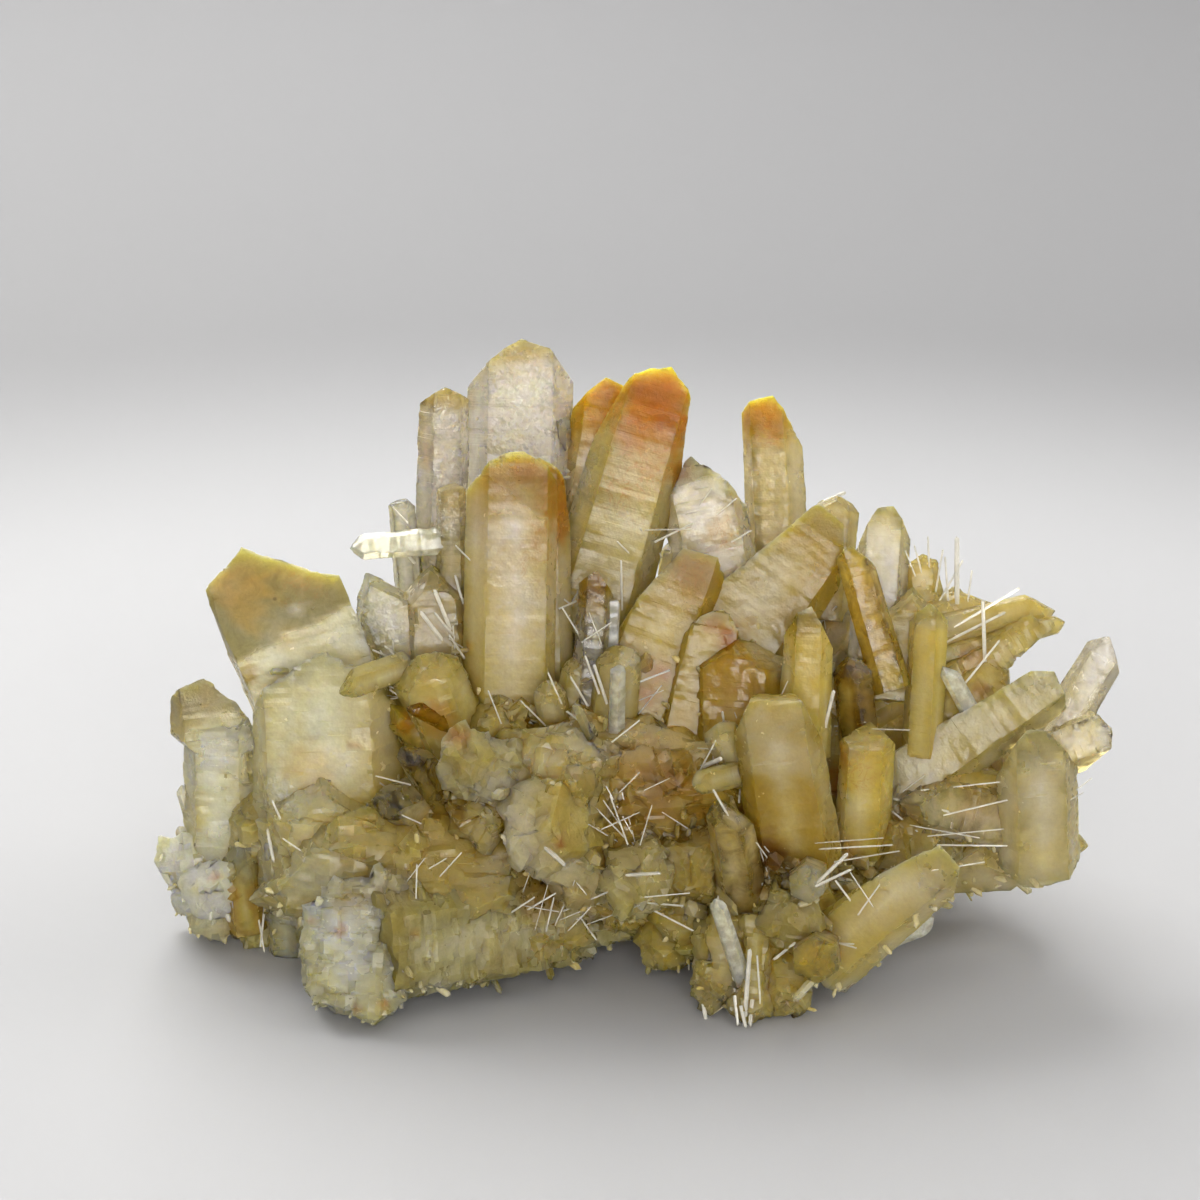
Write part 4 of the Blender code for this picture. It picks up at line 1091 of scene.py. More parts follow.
def smooth(x, lo, hi):
    t = np.clip((x - lo) / (hi - lo), 0, 1)
    return t * t * (3 - 2 * t)


def dress(name, v, faces, crystals, bulk, collection, stains, veins, flecks, dimples):
    """Make the object and give every corner its colour, look and own axes."""
    obj = mesh_object(name, v, faces, collection)
    mesh = obj.data
    loops = np.fromiter((i for f in faces for i in f), np.int64)
    total = np.fromiter((len(f) for f in faces), np.int64)
    face_of = np.repeat(np.arange(len(faces)), total)
    p = v[loops]
    centre = np.stack([np.bincount(face_of, weights=p[:, k], minlength=len(faces)) for k in range(3)], 1) / total[:, None]
    fn = np.zeros(len(faces) * 3)
    mesh.polygons.foreach_get("normal", fn)
    fn = fn.reshape(-1, 3)
    area = np.zeros(len(faces))
    mesh.polygons.foreach_get("area", area)
    best = np.full(len(faces), 1e9)
    which = np.zeros(len(faces), int)
    plane = np.zeros(len(faces), int)
    for i, (_, planes, fr, _) in enumerate(crystals):
        n = np.array([tuple(x[1]) for x in planes])
        off = np.array([x[0].dot(x[1]) for x in planes])
        d = centre @ n.T - off
        k = d.argmax(1)
        dist = d[np.arange(len(d)), k]
        score = np.abs(dist) + 0.6 * (1 - np.einsum("ij,ij->i", n[k], fn))
        m = score < best
        best[m], which[m], plane[m] = score[m], i, k[m]
    tint = np.zeros((len(loops), 3))
    look = np.zeros((len(loops), 3))
    own = np.zeros((len(loops), 3))
    marks = np.zeros((len(loops), 3))
    host_axis = np.array([tuple(c[2][1]) for c in crystals])[which]
    lw, lp = which[face_of], plane[face_of]
    for i, (cname, planes, fr, _) in enumerate(crystals):
        m = lw == i
        if not m.any():
            continue
        body, tip, tip_len, clear_b, clear_t, grain_b, grain_t, steps = look_of(cname)
        mid, axis, across, near, length, half_w, half_t = fr
        axis, across, near = np.array(axis), np.array(across), np.array(near)
        q = p[m] - np.array(mid)
        x, y, z = q @ across, q @ near, q @ axis
        rng = seeded(cname + "c")
        shift = rng.uniform(-0.04, 0.04)
        top = TOPS[cname]
        uneven = clouds(p[m] / (1.5 + half_w * 0.35), rng.randrange(9999), 3)
        t = 1.0 - smooth(top - z + uneven * tip_len * 0.55, tip_len * 0.3, tip_len * 1.6)
        # tip faces are duller than the sides; the narrow flanks, turned edge-on to the eye, get grain and are darkened
        # as painted shade
        pn = np.array([tuple(n) for _, n in planes])
        is_cap = (pn @ axis > 0.32)[lp[m]]
        is_flank = ((np.abs(pn @ axis) < 0.25) & (np.abs(pn @ near) < 0.55))[lp[m]]
        cap = np.where(is_cap, 0.55, 0.0)
        c = to_linear_mix(np.array(body), np.array(tip), np.maximum(t, cap))
        c = c * np.where(is_cap, 0.90, 1.0)[:, None]
        flank_grain_and_shade = np.where(is_flank & (half_w > 2.2), 0.6, 0.0) * smooth(clouds(p[m] / 5.0, 55, 2), -0.5, 0.2)
        # painted shade: sides seen edge-on are made greyer and darker
        c = to_linear_mix(c, c * np.array((0.80, 0.79, 0.80)), flank_grain_and_shade)
        if cname in CAPPED:                    # the duller tip ends at a line of its own
            far, slope, colour, amount, rub = CAPPED[cname]
            edge = far + slope * x / half_w + 0.5 * clouds(p[m] / 1.6, 13, 2)
            cap_in = (1 - smooth(top - z - edge, -0.25, 0.35)) * amount
            c = to_linear_mix(c, np.tile(np.array(colour), (len(c), 1)), cap_in)
        # a milky heart shows through the middle of a face, a clear warm rim along its edges
        off = np.array([pt.dot(nn) for pt, nn in planes])
        inner = np.sort(p[m] @ pn.T - off, axis=1)[:, -2]
        rim = np.exp(np.clip(inner, -30, 0) / (0.35 + 0.10 * half_w))
        heart = smooth(-inner / max(half_w, 1.5), 0.15, 0.75) * (1 - t) * (0.55 + 0.45 * smooth(clouds(p[m] / 3.4, 33, 3), -0.3, 0.3))
        heart = np.where(is_cap, 0.0, heart)
        c = to_linear_mix(c, c * 0.25 + np.array(MILK) * 0.75, 0.62 * heart)
        c = to_linear_mix(c, c * np.array((1.0, 0.92, 0.70)), 0.7 * rim)
        # each face a little lighter or darker, and cloudy bands across the crystal
        shade = np.array([random.Random(hash_of(cname, k)).uniform(-0.05, 0.05) for k in range(len(planes))])
        band = clouds(np.stack([x / 7.0, y / 7.0, (z + 0.05 * x * x / max(half_w, 1.0)) / 1.9], 1) + 5.1 * i, 91, 2)
        c = c * (1.0 + shift + shade[lp[m]] + 0.07 * band)[:, None]
        tint[m] = c
        look[m, 0] = (clear_b + (clear_t - clear_b) * t) * (1 - 0.5 * heart) + 0.14 * rim
        look[m, 1] = np.maximum(grain_b + (grain_t - grain_b) * t, np.maximum(np.where(is_cap, 0.18, 0), flank_grain_and_shade * 0.5))
        if cname in CAPPED:
            look[m, 1] = np.maximum(look[m, 1], cap_in * rub)
        look[m, 2] = steps
        own[m] = np.stack([x, y, z], 1) + np.array((rng.uniform(0, 90), rng.uniform(0, 90), rng.uniform(0, 90)))
    # milky clouds, and a deeper, darker ochre where the quartz is thick or in a cleft: partly its own colour, partly
    # painted shade in the clefts
    big = clouds(p / 9.0, 61, 3)
    fine = clouds(p / 2.6, 71, 3)
    near, wide = bulk.at(p, bulk.near), bulk.at(p, bulk.wide)
    deep = smooth(near, 0.50, 0.80) * 0.62 + smooth(wide, 0.30, 0.72) * 0.36
    left = 1 - smooth(p[:, 0], -44, -22)
    deep *= 1 - 0.45 * left
    tint = to_linear_mix(tint, tint * 0.35 + np.array(MILK) * 0.65, np.clip(0.5 * smooth(big, 0.08, 0.55), 0, 1))
    tint = to_linear_mix(tint, tint * np.array((0.98, 0.91, 0.60)), np.clip(0.55 * smooth(-big, 0.0, 0.6) + 0.3 * smooth(fine, 0.1, 0.6), 0, 1))
    # painted shade: darker ochre is mixed in where much quartz lies round a point, in clefts and between crystals
    tint = to_linear_mix(tint, tint * 0.30 + np.array(CLEFT_SHADE_OCHRE) * 0.70, np.clip(deep, 0, 0.95))
    tint = np.stack([CAST[0] * tint[:, 0], CAST[1] * tint[:, 1], CAST[2] * tint[:, 2] ** 1.5], 1)
    tint[:, 2] *= 1 + 0.18 * left + 0.25 * smooth(p[:, 2], 38, 60) * (1 - smooth(p[:, 0], -8, -2))
    share = tint[:, 2] / np.maximum(tint[:, 0], 1e-4)
    least = tint[:, 0] * (0.63 + 0.40 * np.clip(share, 0, 0.7) + 0.07 * left)
    tint[:, 1] = np.where(share > 0.12, np.maximum(tint[:, 1], least), tint[:, 1])
    tint[:, 2] = np.minimum(tint[:, 2], 0.86 * tint[:, 1])
    warp = clouds(p / 1.3, 81, 2)
    for c, r, colour, strength in stains:
        m = np.abs(p - c).max(1) < r * 1.5
        if m.any():
            d = np.linalg.norm(p[m] - c, axis=1) / r + 0.45 * warp[m]
            tint[m] = to_linear_mix(tint[m], np.tile(colour, (m.sum(), 1)), strength * (1 - smooth(d, 0.35, 1.1)))
    for slot, rows in enumerate((veins, flecks, dimples)):
        for c, r, strength in rows:
            m = np.abs(p - c).max(1) < r * 1.4
            if m.any():
                d = np.linalg.norm(p[m] - c, axis=1) / r + 0.3 * warp[m]
                marks[m, slot] = np.maximum(marks[m, slot], strength * (1 - smooth(d, 0.5, 1.1)))
    tint = np.clip(tint, 0.004, 0.92)
    look[:, 0] = np.clip(look[:, 0] * CLEARER[0] + CLEARER[1], 0, 0.95) * (1 - 0.25 * np.clip(deep, 0, 1))
    look[:, 1] *= 1 - np.clip(marks[:, 2], 0, 1)
    col = mesh.color_attributes.new("tint", "FLOAT_COLOR", "CORNER")
    col.data.foreach_set("color", np.concatenate([tint, np.ones((len(tint), 1))], 1).astype(np.float32).ravel())
    for key, data in (("look", look), ("own", own), ("marks", marks)):
        at = mesh.attributes.new(key, "FLOAT_VECTOR", "CORNER")
        at.data.foreach_set("vector", data.astype(np.float32).ravel())
    mesh.shade_smooth()
    mesh.set_sharp_from_angle(angle=math.radians(24))
    first = np.concatenate([[0], np.cumsum(total)[:-1]])
    shell = {"v": v, "faces": faces, "centre": centre, "normal": fn, "area": area * 1e6, "tint": tint[first],
             "grain": look[first, 1], "axis": host_axis}
    return obj, shell


# crystal: length of the dull tip mm, its slope across, colour, strength, grain
CAPPED = {
    "tall_front": (6.2, -4.5, srgb(178, 152, 74), 0.85, 0.45), "tall_front_b": (9.0, 0.0, srgb(184, 138, 58), 0.7, 0.4),
    "mango": (6.5, 0.5, srgb(166, 126, 48), 0.7, 0.6), "blade": (13.0, 2.5, srgb(148, 140, 98), 0.85, 0.7),
    "post": (4.5, 1.0, srgb(178, 136, 56), 0.75, 0.6), "brown_tip": (5.0, -1.5, srgb(180, 146, 76), 0.6, 0.5),
    "grey_slope": (3.5, 1.0, srgb(176, 160, 108), 0.6, 0.6), "big_centre": (3.2, 0.6, srgb(180, 160, 112), 0.55, 0.3),
    "right_front": (4.2, -0.8, srgb(182, 168, 120), 0.5, 0.4), "front_lean": (5.0, 0.6, srgb(190, 176, 134), 0.5, 0.5),
    "milky_post": (2.6, 0.5, srgb(172, 158, 106), 0.6, 0.3), "grey_top": (4.0, 0.8, srgb(170, 150, 92), 0.6, 0.3),
    "tall_back": (3.0, 0.0, srgb(198, 180, 120), 0.5, 0.3), "tall_left": (3.0, 0.0, srgb(190, 168, 106), 0.5, 0.3),
    "broad_blade": (4.0, 2.0, srgb(186, 168, 112), 0.5, 0.5), "edge_cap": (6.0, 2.0, srgb(186, 170, 118), 0.5, 0.5),
    "white_back": (3.0, 0.5, srgb(190, 172, 122), 0.5, 0.5), "right_big": (4.5, 0.0, srgb(190, 178, 130), 0.4, 0.3),
}
# ochre of thick quartz, also used as painted shade in the clefts
CLEFT_SHADE_OCHRE = srgb(172, 128, 50)
CAST = (0.98, 0.975, 1.45)
CLEARER = (1.12, 0.12)


def hash_of(name, k):
    return sum((i + 5) * ord(c) for i, c in enumerate(name)) * 131 + k * 977 + SEED


# ------------------------------------------------------------------- materials
def node(tree, kind, **settings):
    n = tree.nodes.new(kind)
    for key, value in settings.items():
        if key == "inputs":
            for k, val in value.items():
                n.inputs[k].default_value = val
        else:
            setattr(n, key, value)
    return n


def quartz_material(name, scatter, deep=1.0, more=0.0):
    mat = bpy.data.materials.new(name)
    mat.use_nodes = True
    t = mat.node_tree
    link = t.links.new
    shader = t.nodes["Principled BSDF"]
    tint = node(t, "ShaderNodeAttribute", attribute_name="tint")
    look = node(t, "ShaderNodeAttribute", attribute_name="look")
    own = node(t, "ShaderNodeAttribute", attribute_name="own")
    marks = node(t, "ShaderNodeAttribute", attribute_name="marks")
    parts = node(t, "ShaderNodeSeparateXYZ")
    link(look.outputs["Vector"], parts.inputs[0])
    spots = node(t, "ShaderNodeSeparateXYZ")
    link(marks.outputs["Vector"], spots.inputs[0])
    place = node(t, "ShaderNodeTexCoord")

    def noise(scale, detail, rough, distortion=0.0, vector=None):
        n = node(t, "ShaderNodeTexNoise", inputs={"Scale": scale, "Detail": detail, "Roughness": rough, "Distortion": distortion})
        link(vector if vector is not None else place.outputs["Object"], n.inputs["Vector"])
        return n.outputs["Fac"]

    def ranged(value, a, b, lo, hi):
        n = node(t, "ShaderNodeMapRange", inputs={"From Min": a, "From Max": b, "To Min": lo, "To Max": hi})
        link(value, n.inputs["Value"])
        return n.outputs["Result"]

    def maths(operation, a, b, clamp=False):
        n = node(t, "ShaderNodeMath", operation=operation, use_clamp=clamp)
        for i, x in enumerate((a, b)):
            if isinstance(x, (int, float)):
                n.inputs[i].default_value = x
            else:
                link(x, n.inputs[i])
        return n.outputs[0]

    def mixed(factor, a, b):
        n = node(t, "ShaderNodeMix", data_type="RGBA", blend_type="MIX")
        link(factor, n.inputs["Factor"])
        link(a, n.inputs["A"])
        if isinstance(b, tuple):
            n.inputs["B"].default_value = (*b, 1)
        else:
            link(b, n.inputs["B"])
        return n.outputs["Result"]

    # wisps and flecks inside the quartz
    wisp = noise(420.0, 5.0, 0.62, 0.9)
    fleck = noise(1500.0, 3.0, 0.7)
    tone = maths("MULTIPLY", ranged(wisp, 0.33, 0.68, 0.83, 1.10), ranged(fleck, 0.35, 0.7, 0.93, 1.05))
    times = node(t, "ShaderNodeVectorMath", operation="SCALE")
    link(tint.outputs["Color"], times.inputs[0])
    link(tone, times.inputs["Scale"])
    # iron stains: thin wandering veins, and dark specks, where they are marked
    ridge = maths("ABSOLUTE", maths("SUBTRACT", noise(330.0, 3.0, 0.6, 1.6), 0.5), 0.0)
    vein = maths("MULTIPLY", ranged(ridge, 0.0, 0.028, 0.85, 0.0), spots.outputs["X"], True)
    colour = mixed(vein, times.outputs[0], VEIN)
    speckle = node(t, "ShaderNodeTexVoronoi", inputs={"Scale": 420.0, "Randomness": 1.0})
    link(place.outputs["Object"], speckle.inputs["Vector"])
    dot = maths("MULTIPLY", ranged(speckle.outputs["Distance"], 0.10, 0.17, 1.0, 0.0), spots.outputs["Y"], True)
    rare = node(t, "ShaderNodeSeparateColor")
    link(speckle.outputs["Color"], rare.inputs[0])
    dot = maths("MULTIPLY", dot, ranged(rare.outputs[0], 0.80, 0.84, 0.0, 1.0), True)
    colour = mixed(dot, colour, SPECK)
    link(colour, shader.inputs["Base Color"])
    # glassy, and dull where the surface is granular
    smear = noise(260.0, 3.0, 0.6)
    base = ranged(smear, 0.3, 0.7, FROST[0], FROST[1])
    link(maths("ADD", maths("MULTIPLY", parts.outputs["Y"], 0.30), base), shader.inputs["Roughness"])
    link(maths("ADD", ranged(parts.outputs["Y"], 0.0, 0.6, 0.08, 0.02), maths("MULTIPLY", spots.outputs["Z"], 1.0), True), shader.inputs["Coat Weight"])
    shader.inputs["Coat Roughness"].default_value = 0.05
    shader.inputs["Coat IOR"].default_value = 1.544
    # clearness, broken by the wisps
    link(maths("ADD", maths("MULTIPLY", parts.outputs["X"], ranged(wisp, 0.3, 0.7, 0.72, 1.25), True), more, True), shader.inputs["Transmission Weight"])
    # fine striations across each crystal, dimples and grains
    stretch = node(t, "ShaderNodeVectorMath", operation="MULTIPLY", inputs={1: (0.10, 0.10, 3.2)})
    link(own.outputs["Vector"], stretch.inputs[0])
    lines = maths("MULTIPLY", noise(1.0, 3.0, 0.6, 0.0, stretch.outputs[0]), parts.outputs["Z"])
    b1 = node(t, "ShaderNodeBump", inputs={"Strength": 0.8, "Distance": 0.00010})
    link(lines, b1.inputs["Height"])
    dimple = maths("MULTIPLY", noise(800.0, 2.0, 0.55), maths("ADD", spots.outputs["Z"], 0.17))
    b2 = node(t, "ShaderNodeBump", inputs={"Strength": 1.0, "Distance": 0.0008})
    link(dimple, b2.inputs["Height"])
    link(b1.outputs["Normal"], b2.inputs["Normal"])
    b3 = node(t, "ShaderNodeBump", inputs={"Strength": 0.9, "Distance": 0.00022})
    link(maths("MULTIPLY", noise(2600.0, 3.0, 0.65), parts.outputs["Y"]), b3.inputs["Height"])
    link(b2.outputs["Normal"], b3.inputs["Normal"])
    link(b3.outputs["Normal"], shader.inputs["Normal"])
    link(b3.outputs["Normal"], shader.inputs["Coat Normal"])
    shader.inputs["IOR"].default_value = 1.544
    shader.inputs["Subsurface Weight"].default_value = deep
    shader.inputs["Subsurface Radius"].default_value = (0.72, 0.64, 0.26)
    shader.inputs["Subsurface Scale"].default_value = scatter
    shader.inputs["Specular IOR Level"].default_value = 0.03
    absorb = node(t, "ShaderNodeVolumeAbsorption", inputs={"Color": (0.97, 0.80, 0.35, 1), "Density": ABSORB})
    link(absorb.outputs[0], t.nodes["Material Output"].inputs["Volume"])
    return mat


VEIN = srgb(184, 116, 26)
SPECK = srgb(48, 30, 14)
FROST = (0.13, 0.27)
SCATTER = 0.010
ABSORB = 30.0


def clear_material(name, top, scatter, colour):
    mat = bpy.data.materials.new(name)
    mat.use_nodes = True
    t = mat.node_tree
    link = t.links.new
    shader = t.nodes["Principled BSDF"]
    place = node(t, "ShaderNodeTexCoord")
    fog = node(t, "ShaderNodeTexNoise", inputs={"Scale": 700.0, "Detail": 4.0, "Roughness": 0.6})
    link(place.outputs["Object"], fog.inputs["Vector"])
    w = node(t, "ShaderNodeMapRange", inputs={"From Min": 0.42, "From Max": 0.72, "To Min": top, "To Max": top * 0.6})
    link(fog.outputs["Fac"], w.inputs["Value"])
    link(w.outputs["Result"], shader.inputs["Transmission Weight"])
    r = node(t, "ShaderNodeMapRange", inputs={"From Min": 0.3, "From Max": 0.7, "To Min": 0.02, "To Max": 0.14})
    link(fog.outputs["Fac"], r.inputs["Value"])
    link(r.outputs["Result"], shader.inputs["Roughness"])
    shader.inputs["Base Color"].default_value = (*colour, 1)
    shader.inputs["IOR"].default_value = 1.544
    shader.inputs["Subsurface Weight"].default_value = 1.0 if scatter else 0.0
    shader.inputs["Subsurface Radius"].default_value = (1.0, 0.9, 0.6)
    shader.inputs["Subsurface Scale"].default_value = max(scatter, 0.001)
    shader.inputs["Specular IOR Level"].default_value = 0.45
    absorb = node(t, "ShaderNodeVolumeAbsorption", inputs={"Color": (0.97, 0.88, 0.62, 1), "Density": 25.0})
    link(absorb.outputs[0], t.nodes["Material Output"].inputs["Volume"])
    return mat




# ------------------------------------------------------------- what stands where
class Skin:
    """The finished outside of the cluster, to grow small things on."""

    def __init__(self, shells):
        v = np.concatenate([s["v"] for s in shells])
        base = np.cumsum([0] + [len(s["v"]) for s in shells])
        faces = [[i + int(b) for i in f] for s, b in zip(shells, base) for f in s["faces"]]
        self.tree = BVHTree.FromPolygons(v.tolist(), faces)
        self.centre = np.concatenate([s["centre"] for s in shells])
        self.normal = np.concatenate([s["normal"] for s in shells])
        self.area = np.concatenate([s["area"] for s in shells])
        self.tint = np.concatenate([s["tint"] for s in shells])
        self.grain = np.concatenate([s["grain"] for s in shells])
        self.axis = np.concatenate([s["axis"] for s in shells])

    def hit(self, u, v):
        """Point of the outside that is seen at (u, v), its normal and face."""
        d = ray(u, v).normalized()
        p, n, i, far = self.tree.ray_cast(EYE, d)
        return (None, None, None) if p is None else (p, n, i)


def bare_skin(joints):
    """Ray target made of the joined shells only, before they have colours."""
    v = np.concatenate([a for a, _ in joints])
    base = np.cumsum([0] + [len(a) for a, _ in joints])
    return BVHTree.FromPolygons(v.tolist(), [[i + int(b) for i in f] for (_, fs), b in zip(joints, base) for f in fs])


def place_stains(tree):
    out = []
    for u, v, r, colour, strength in STAINS:
        p = tree.ray_cast(EYE, ray(u, v).normalized())[0]
        if p is not None:
            out.append((np.array(p), r, np.array(colour), strength))
    return out


# ------------------------------------------------------------- small crystals
def prisms(rng, foot, aim, length, width, spread=0.25):
    """Closed six-sided prisms with six-sided points: vertices and faces of all."""
    n = len(foot)
    aim = aim / np.linalg.norm(aim, axis=1, keepdims=True)
    ref = np.where(np.abs(aim[:, 2:3]) < 0.9, np.array([[0, 0, 1.0]]), np.array([[1.0, 0, 0]]))
    x = np.cross(aim, ref)
    x /= np.linalg.norm(x, axis=1, keepdims=True)
    y = np.cross(aim, x)
    turn = rng.uniform(0, math.pi, n)[:, None]
    x, y = x * np.cos(turn) + y * np.sin(turn), y * np.cos(turn) - x * np.sin(turn)
    flat = rng.uniform(0.6, 1.0, n)
    r = width / 2
    ang = (np.arange(6) * math.pi / 3)[None, :] + rng.uniform(-0.12, 0.12, (n, 6))
    rad = r[:, None] * rng.uniform(0.85, 1.1, (n, 6))
    cx, cy = rad * np.cos(ang), rad * np.sin(ang) * flat[:, None]
    tip = r * rng.uniform(0.7, 1.25, n)
    shoulder = (length - tip)[:, None] + r[:, None] * rng.uniform(-spread, spread, (n, 6)) * 1.6
    taper = rng.uniform(0.82, 0.98, n)[:, None]

    def at(px, py, pz):
        return foot[:, None, :] + x[:, None, :] * px[..., None] + y[:, None, :] * py[..., None] + aim[:, None, :] * pz[..., None]

    low = at(cx, cy, np.zeros((n, 6)))
    mid = at(cx * (1 + taper) / 2 * rng.uniform(0.97, 1.03, (n, 1)), cy * (1 + taper) / 2, shoulder * 0.5)
    top = at(cx * taper, cy * taper, shoulder)
    apex = at((r * rng.uniform(-0.35, 0.35, n))[:, None], (r * flat * rng.uniform(-0.35, 0.35, n))[:, None], length[:, None])
    v = np.concatenate([low, mid, top, apex], 1)           # 19 to a crystal
    one = [[5, 4, 3, 2, 1, 0]]
    for k in range(6):
        j = (k + 1) % 6
        one += [[k, j, 6 + j, 6 + k], [6 + k, 6 + j, 12 + j, 12 + k], [12 + k, 12 + j, 18]]
    faces = [[a + 19 * i for a in f] for i in range(n) for f in one]
    return v.reshape(-1, 3), faces, len(one)


def small_object(name, rng, foot, aim, length, width, tint, tip_tint, clear, grain, collection):
    """A joined mesh of small prisms with the same corner attributes as the rest."""
    v, faces, per = prisms(rng, foot, aim, length, width)
    v[:, 2] = np.maximum(v[:, 2], 0.03)
    obj = mesh_object(name, v, faces, collection)
    loops = np.fromiter((i for f in faces for i in f), np.int64)
    which, slot = loops // 19, loops % 19
    t = np.where(slot >= 12, 1.0, np.where(slot >= 6, 0.35, 0.0))
    col = to_linear_mix(tint[which], tip_tint[which], t)
    look = np.stack([clear[which], grain[which], np.full(len(loops), 0.3)], 1)
    own = np.stack([slot % 6 * 0.3 + which % 17, which % 13, t * length[which] + which % 11], 1)
    mesh = obj.data
    attr = mesh.color_attributes.new("tint", "FLOAT_COLOR", "CORNER")
    attr.data.foreach_set("color", np.concatenate([col, np.ones((len(col), 1))], 1).astype(np.float32).ravel())
    for key, data in (("look", look), ("own", own), ("marks", np.zeros_like(own))):
        attr = mesh.attributes.new(key, "FLOAT_VECTOR", "CORNER")
        attr.data.foreach_set("vector", data.astype(np.float32).ravel())
    mesh.shade_flat()
    return obj


def pick(rng, weight, count):
    total = np.cumsum(weight)
    return np.minimum(np.searchsorted(total, rng.uniform(0, total[-1], count)), len(weight) - 1)


def druse(skin, bulk, collection):
    """Parasite crystals in the clefts, on broken ends and under the rim."""
    rng = np.random.default_rng(SEED + 21)
    near = bulk.at(skin.centre, bulk.near)
    z = skin.centre[:, 2]
    free = z > 0.3
    n = skin.normal
    radial = skin.centre - np.array((0.0, 5.0, 8.0))
    radial /= np.linalg.norm(radial, axis=1, keepdims=True)
    cleft = smooth(near, 0.53, 0.74)
    under = smooth(-n[:, 2], 0.1, 0.7) * (1 - smooth(z, 9, 24))
    patch = smooth(clouds(skin.centre / 6.0, 301, 2), 0.0, 0.45)
    out = []
    # name, count, weight, width range, length over width, embed, tilt of normal/radial/random
    kinds = [
        ("side_crystals", 130, skin.area * free * (cleft ** 1.2 * 0.9 + under * 0.25 + 0.002) * (0.25 + patch), (0.8, 2.7), (1.3, 3.2), (0.6, 0.65, 0.32)),
        ("small_crystals", 650, skin.area * free * (cleft * 0.8 + under * 0.55 + 0.001) * (0.3 + patch), (0.45, 1.4), (1.2, 3.2), (0.8, 0.45, 0.5)),
        ("rough_grains", 2400, skin.area * free * (0.25 * smooth(skin.grain, 0.45, 0.8) + under * 0.9 + cleft * 0.3), (0.4, 1.2), (0.8, 1.9), (0.9, 0.25, 0.7)),
    ]
    for name, count, weight, widths, ratio, tilt in kinds:
        i = pick(rng, weight, count)
        if name == "side_crystals":            # more of them where the middle is a mass of them
            seen_at = [skin.hit(rng.uniform(a, c), rng.uniform(b, d))[2] for a, b, c, d, n_ in CROWDED for _ in range(n_)]
            i = np.concatenate([i, np.array([k for k in seen_at if k is not None], int)])
            i = i[cleft[i] > 0.06]             # never on a clean open face
            count = len(i)
        w = widths[0] + (widths[1] - widths[0]) * rng.uniform(0, 1, count) ** 1.8
        long = w * rng.uniform(*ratio, count)
        d = n[i] * tilt[0] + radial[i] * tilt[1] + rng.normal(0, 1, (count, 3)) * tilt[2]
        d /= np.linalg.norm(d, axis=1, keepdims=True)
        lift = np.einsum("ij,ij->i", d, n[i])
        d += n[i] * np.clip(0.35 - lift, 0, 1)[:, None]
        d /= np.linalg.norm(d, axis=1, keepdims=True)
        sunk = w * 0.6
        foot = skin.centre[i] - d * sunk[:, None]
        tip = foot + d * (long + sunk)[:, None]
        ok = (tip[:, 2] > 0.35) & (np.abs(tip[:, 0] - 0) < 71) & (tip[:, 1] < 50) & (tip[:, 1] > -41)
        i, w, long, d, foot, sunk = i[ok], w[ok], long[ok], d[ok], foot[ok], sunk[ok]
        tint = skin.tint[i] * rng.uniform(0.98, 1.2, (len(i), 1))
        pale = np.array(CREAM)
        tint = to_linear_mix(tint, np.tile(pale, (len(i), 1)), rng.uniform(0.0, 0.35, len(i)))
        tip_t = to_linear_mix(tint, np.tile(np.array(PALE), (len(i), 1)), rng.uniform(0.0, 0.35, len(i)))
        clear = rng.uniform(0.10, 0.40, len(i))
        grain = rng.uniform(0.0, 0.15, len(i))
        out.append(small_object(name, rng, foot, d, long + sunk, w, np.clip(tint, 0.01, 0.9), np.clip(tip_t, 0.01, 0.9), clear, grain, collection))
    return out


def needles(skin, bulk, collection):
    """Clear needles: those read from the picture, and sprays in the clefts."""
    rng = np.random.default_rng(SEED + 33)
    feet, aims, longs, wides = [], [], [], []
    for u0, v0, u1, v1, width, lean in NEEDLES:
        p, n, _ = skin.hit(u0, v0)
        if p is None:
            continue
        far = (p - EYE).dot(_FWD)
        q, _, _ = skin.hit(u1, v1)
        depth = far - lean
        d1 = ray(u1, v1)
        if q is not None:
            depth = min(depth, (q - EYE).dot(_FWD) - 0.4)
        tip = EYE + d1 * (depth / d1.dot(_FWD))
        aim = (tip - p).normalized()
        scale = PITCH * far / EYE_DISTANCE
        feet.append(p - aim * 0.6)
        aims.append(aim)
        longs.append((tip - p).length + 0.6)
        wides.append(width * scale * 0.7)
    near = bulk.at(skin.centre, bulk.near)
    z = skin.centre[:, 2]
    weight = skin.area * (z > 2.0) * (smooth(near, 0.55, 0.74) ** 1.3 + 0.0002)
    hub = pick(rng, weight, 210)
    radial = skin.centre - np.array((0.0, 5.0, 8.0))
    radial /= np.linalg.norm(radial, axis=1, keepdims=True)
    for i in hub:
        main = skin.normal[i] * 0.6 + radial[i] * 0.4 + rng.normal(0, 0.45, 3)
        main /= np.linalg.norm(main)
        for _ in range(int(rng.integers(2, 6))):
            d = main + rng.normal(0, 0.42, 3)
            d += skin.normal[i] * max(0.0, 0.2 - float(d @ skin.normal[i]))
            d /= np.linalg.norm(d)
            foot = skin.centre[i] + rng.normal(0, 0.7, 3) - d * 0.8
            length = rng.uniform(2.5, 7.5)
            tip = foot + d * length
            if tip[2] < 0.6 or foot[2] < 0.3 or abs(tip[0]) > 71 or tip[1] < -42 or tip[1] > 50:
                continue
            feet.append(foot)
            aims.append(d)
            longs.append(length)
            wides.append(rng.uniform(0.15, 0.42))
    feet, aims = np.array([tuple(x) for x in feet]), np.array([tuple(x) for x in aims])
    v, faces, per = prisms(rng, feet, aims, np.array(longs), np.array(wides))
    v[:, 2] = np.maximum(v[:, 2], 0.03)
    obj = mesh_object("clear_needles", v, faces, collection)
    obj.data.shade_flat()
    return obj


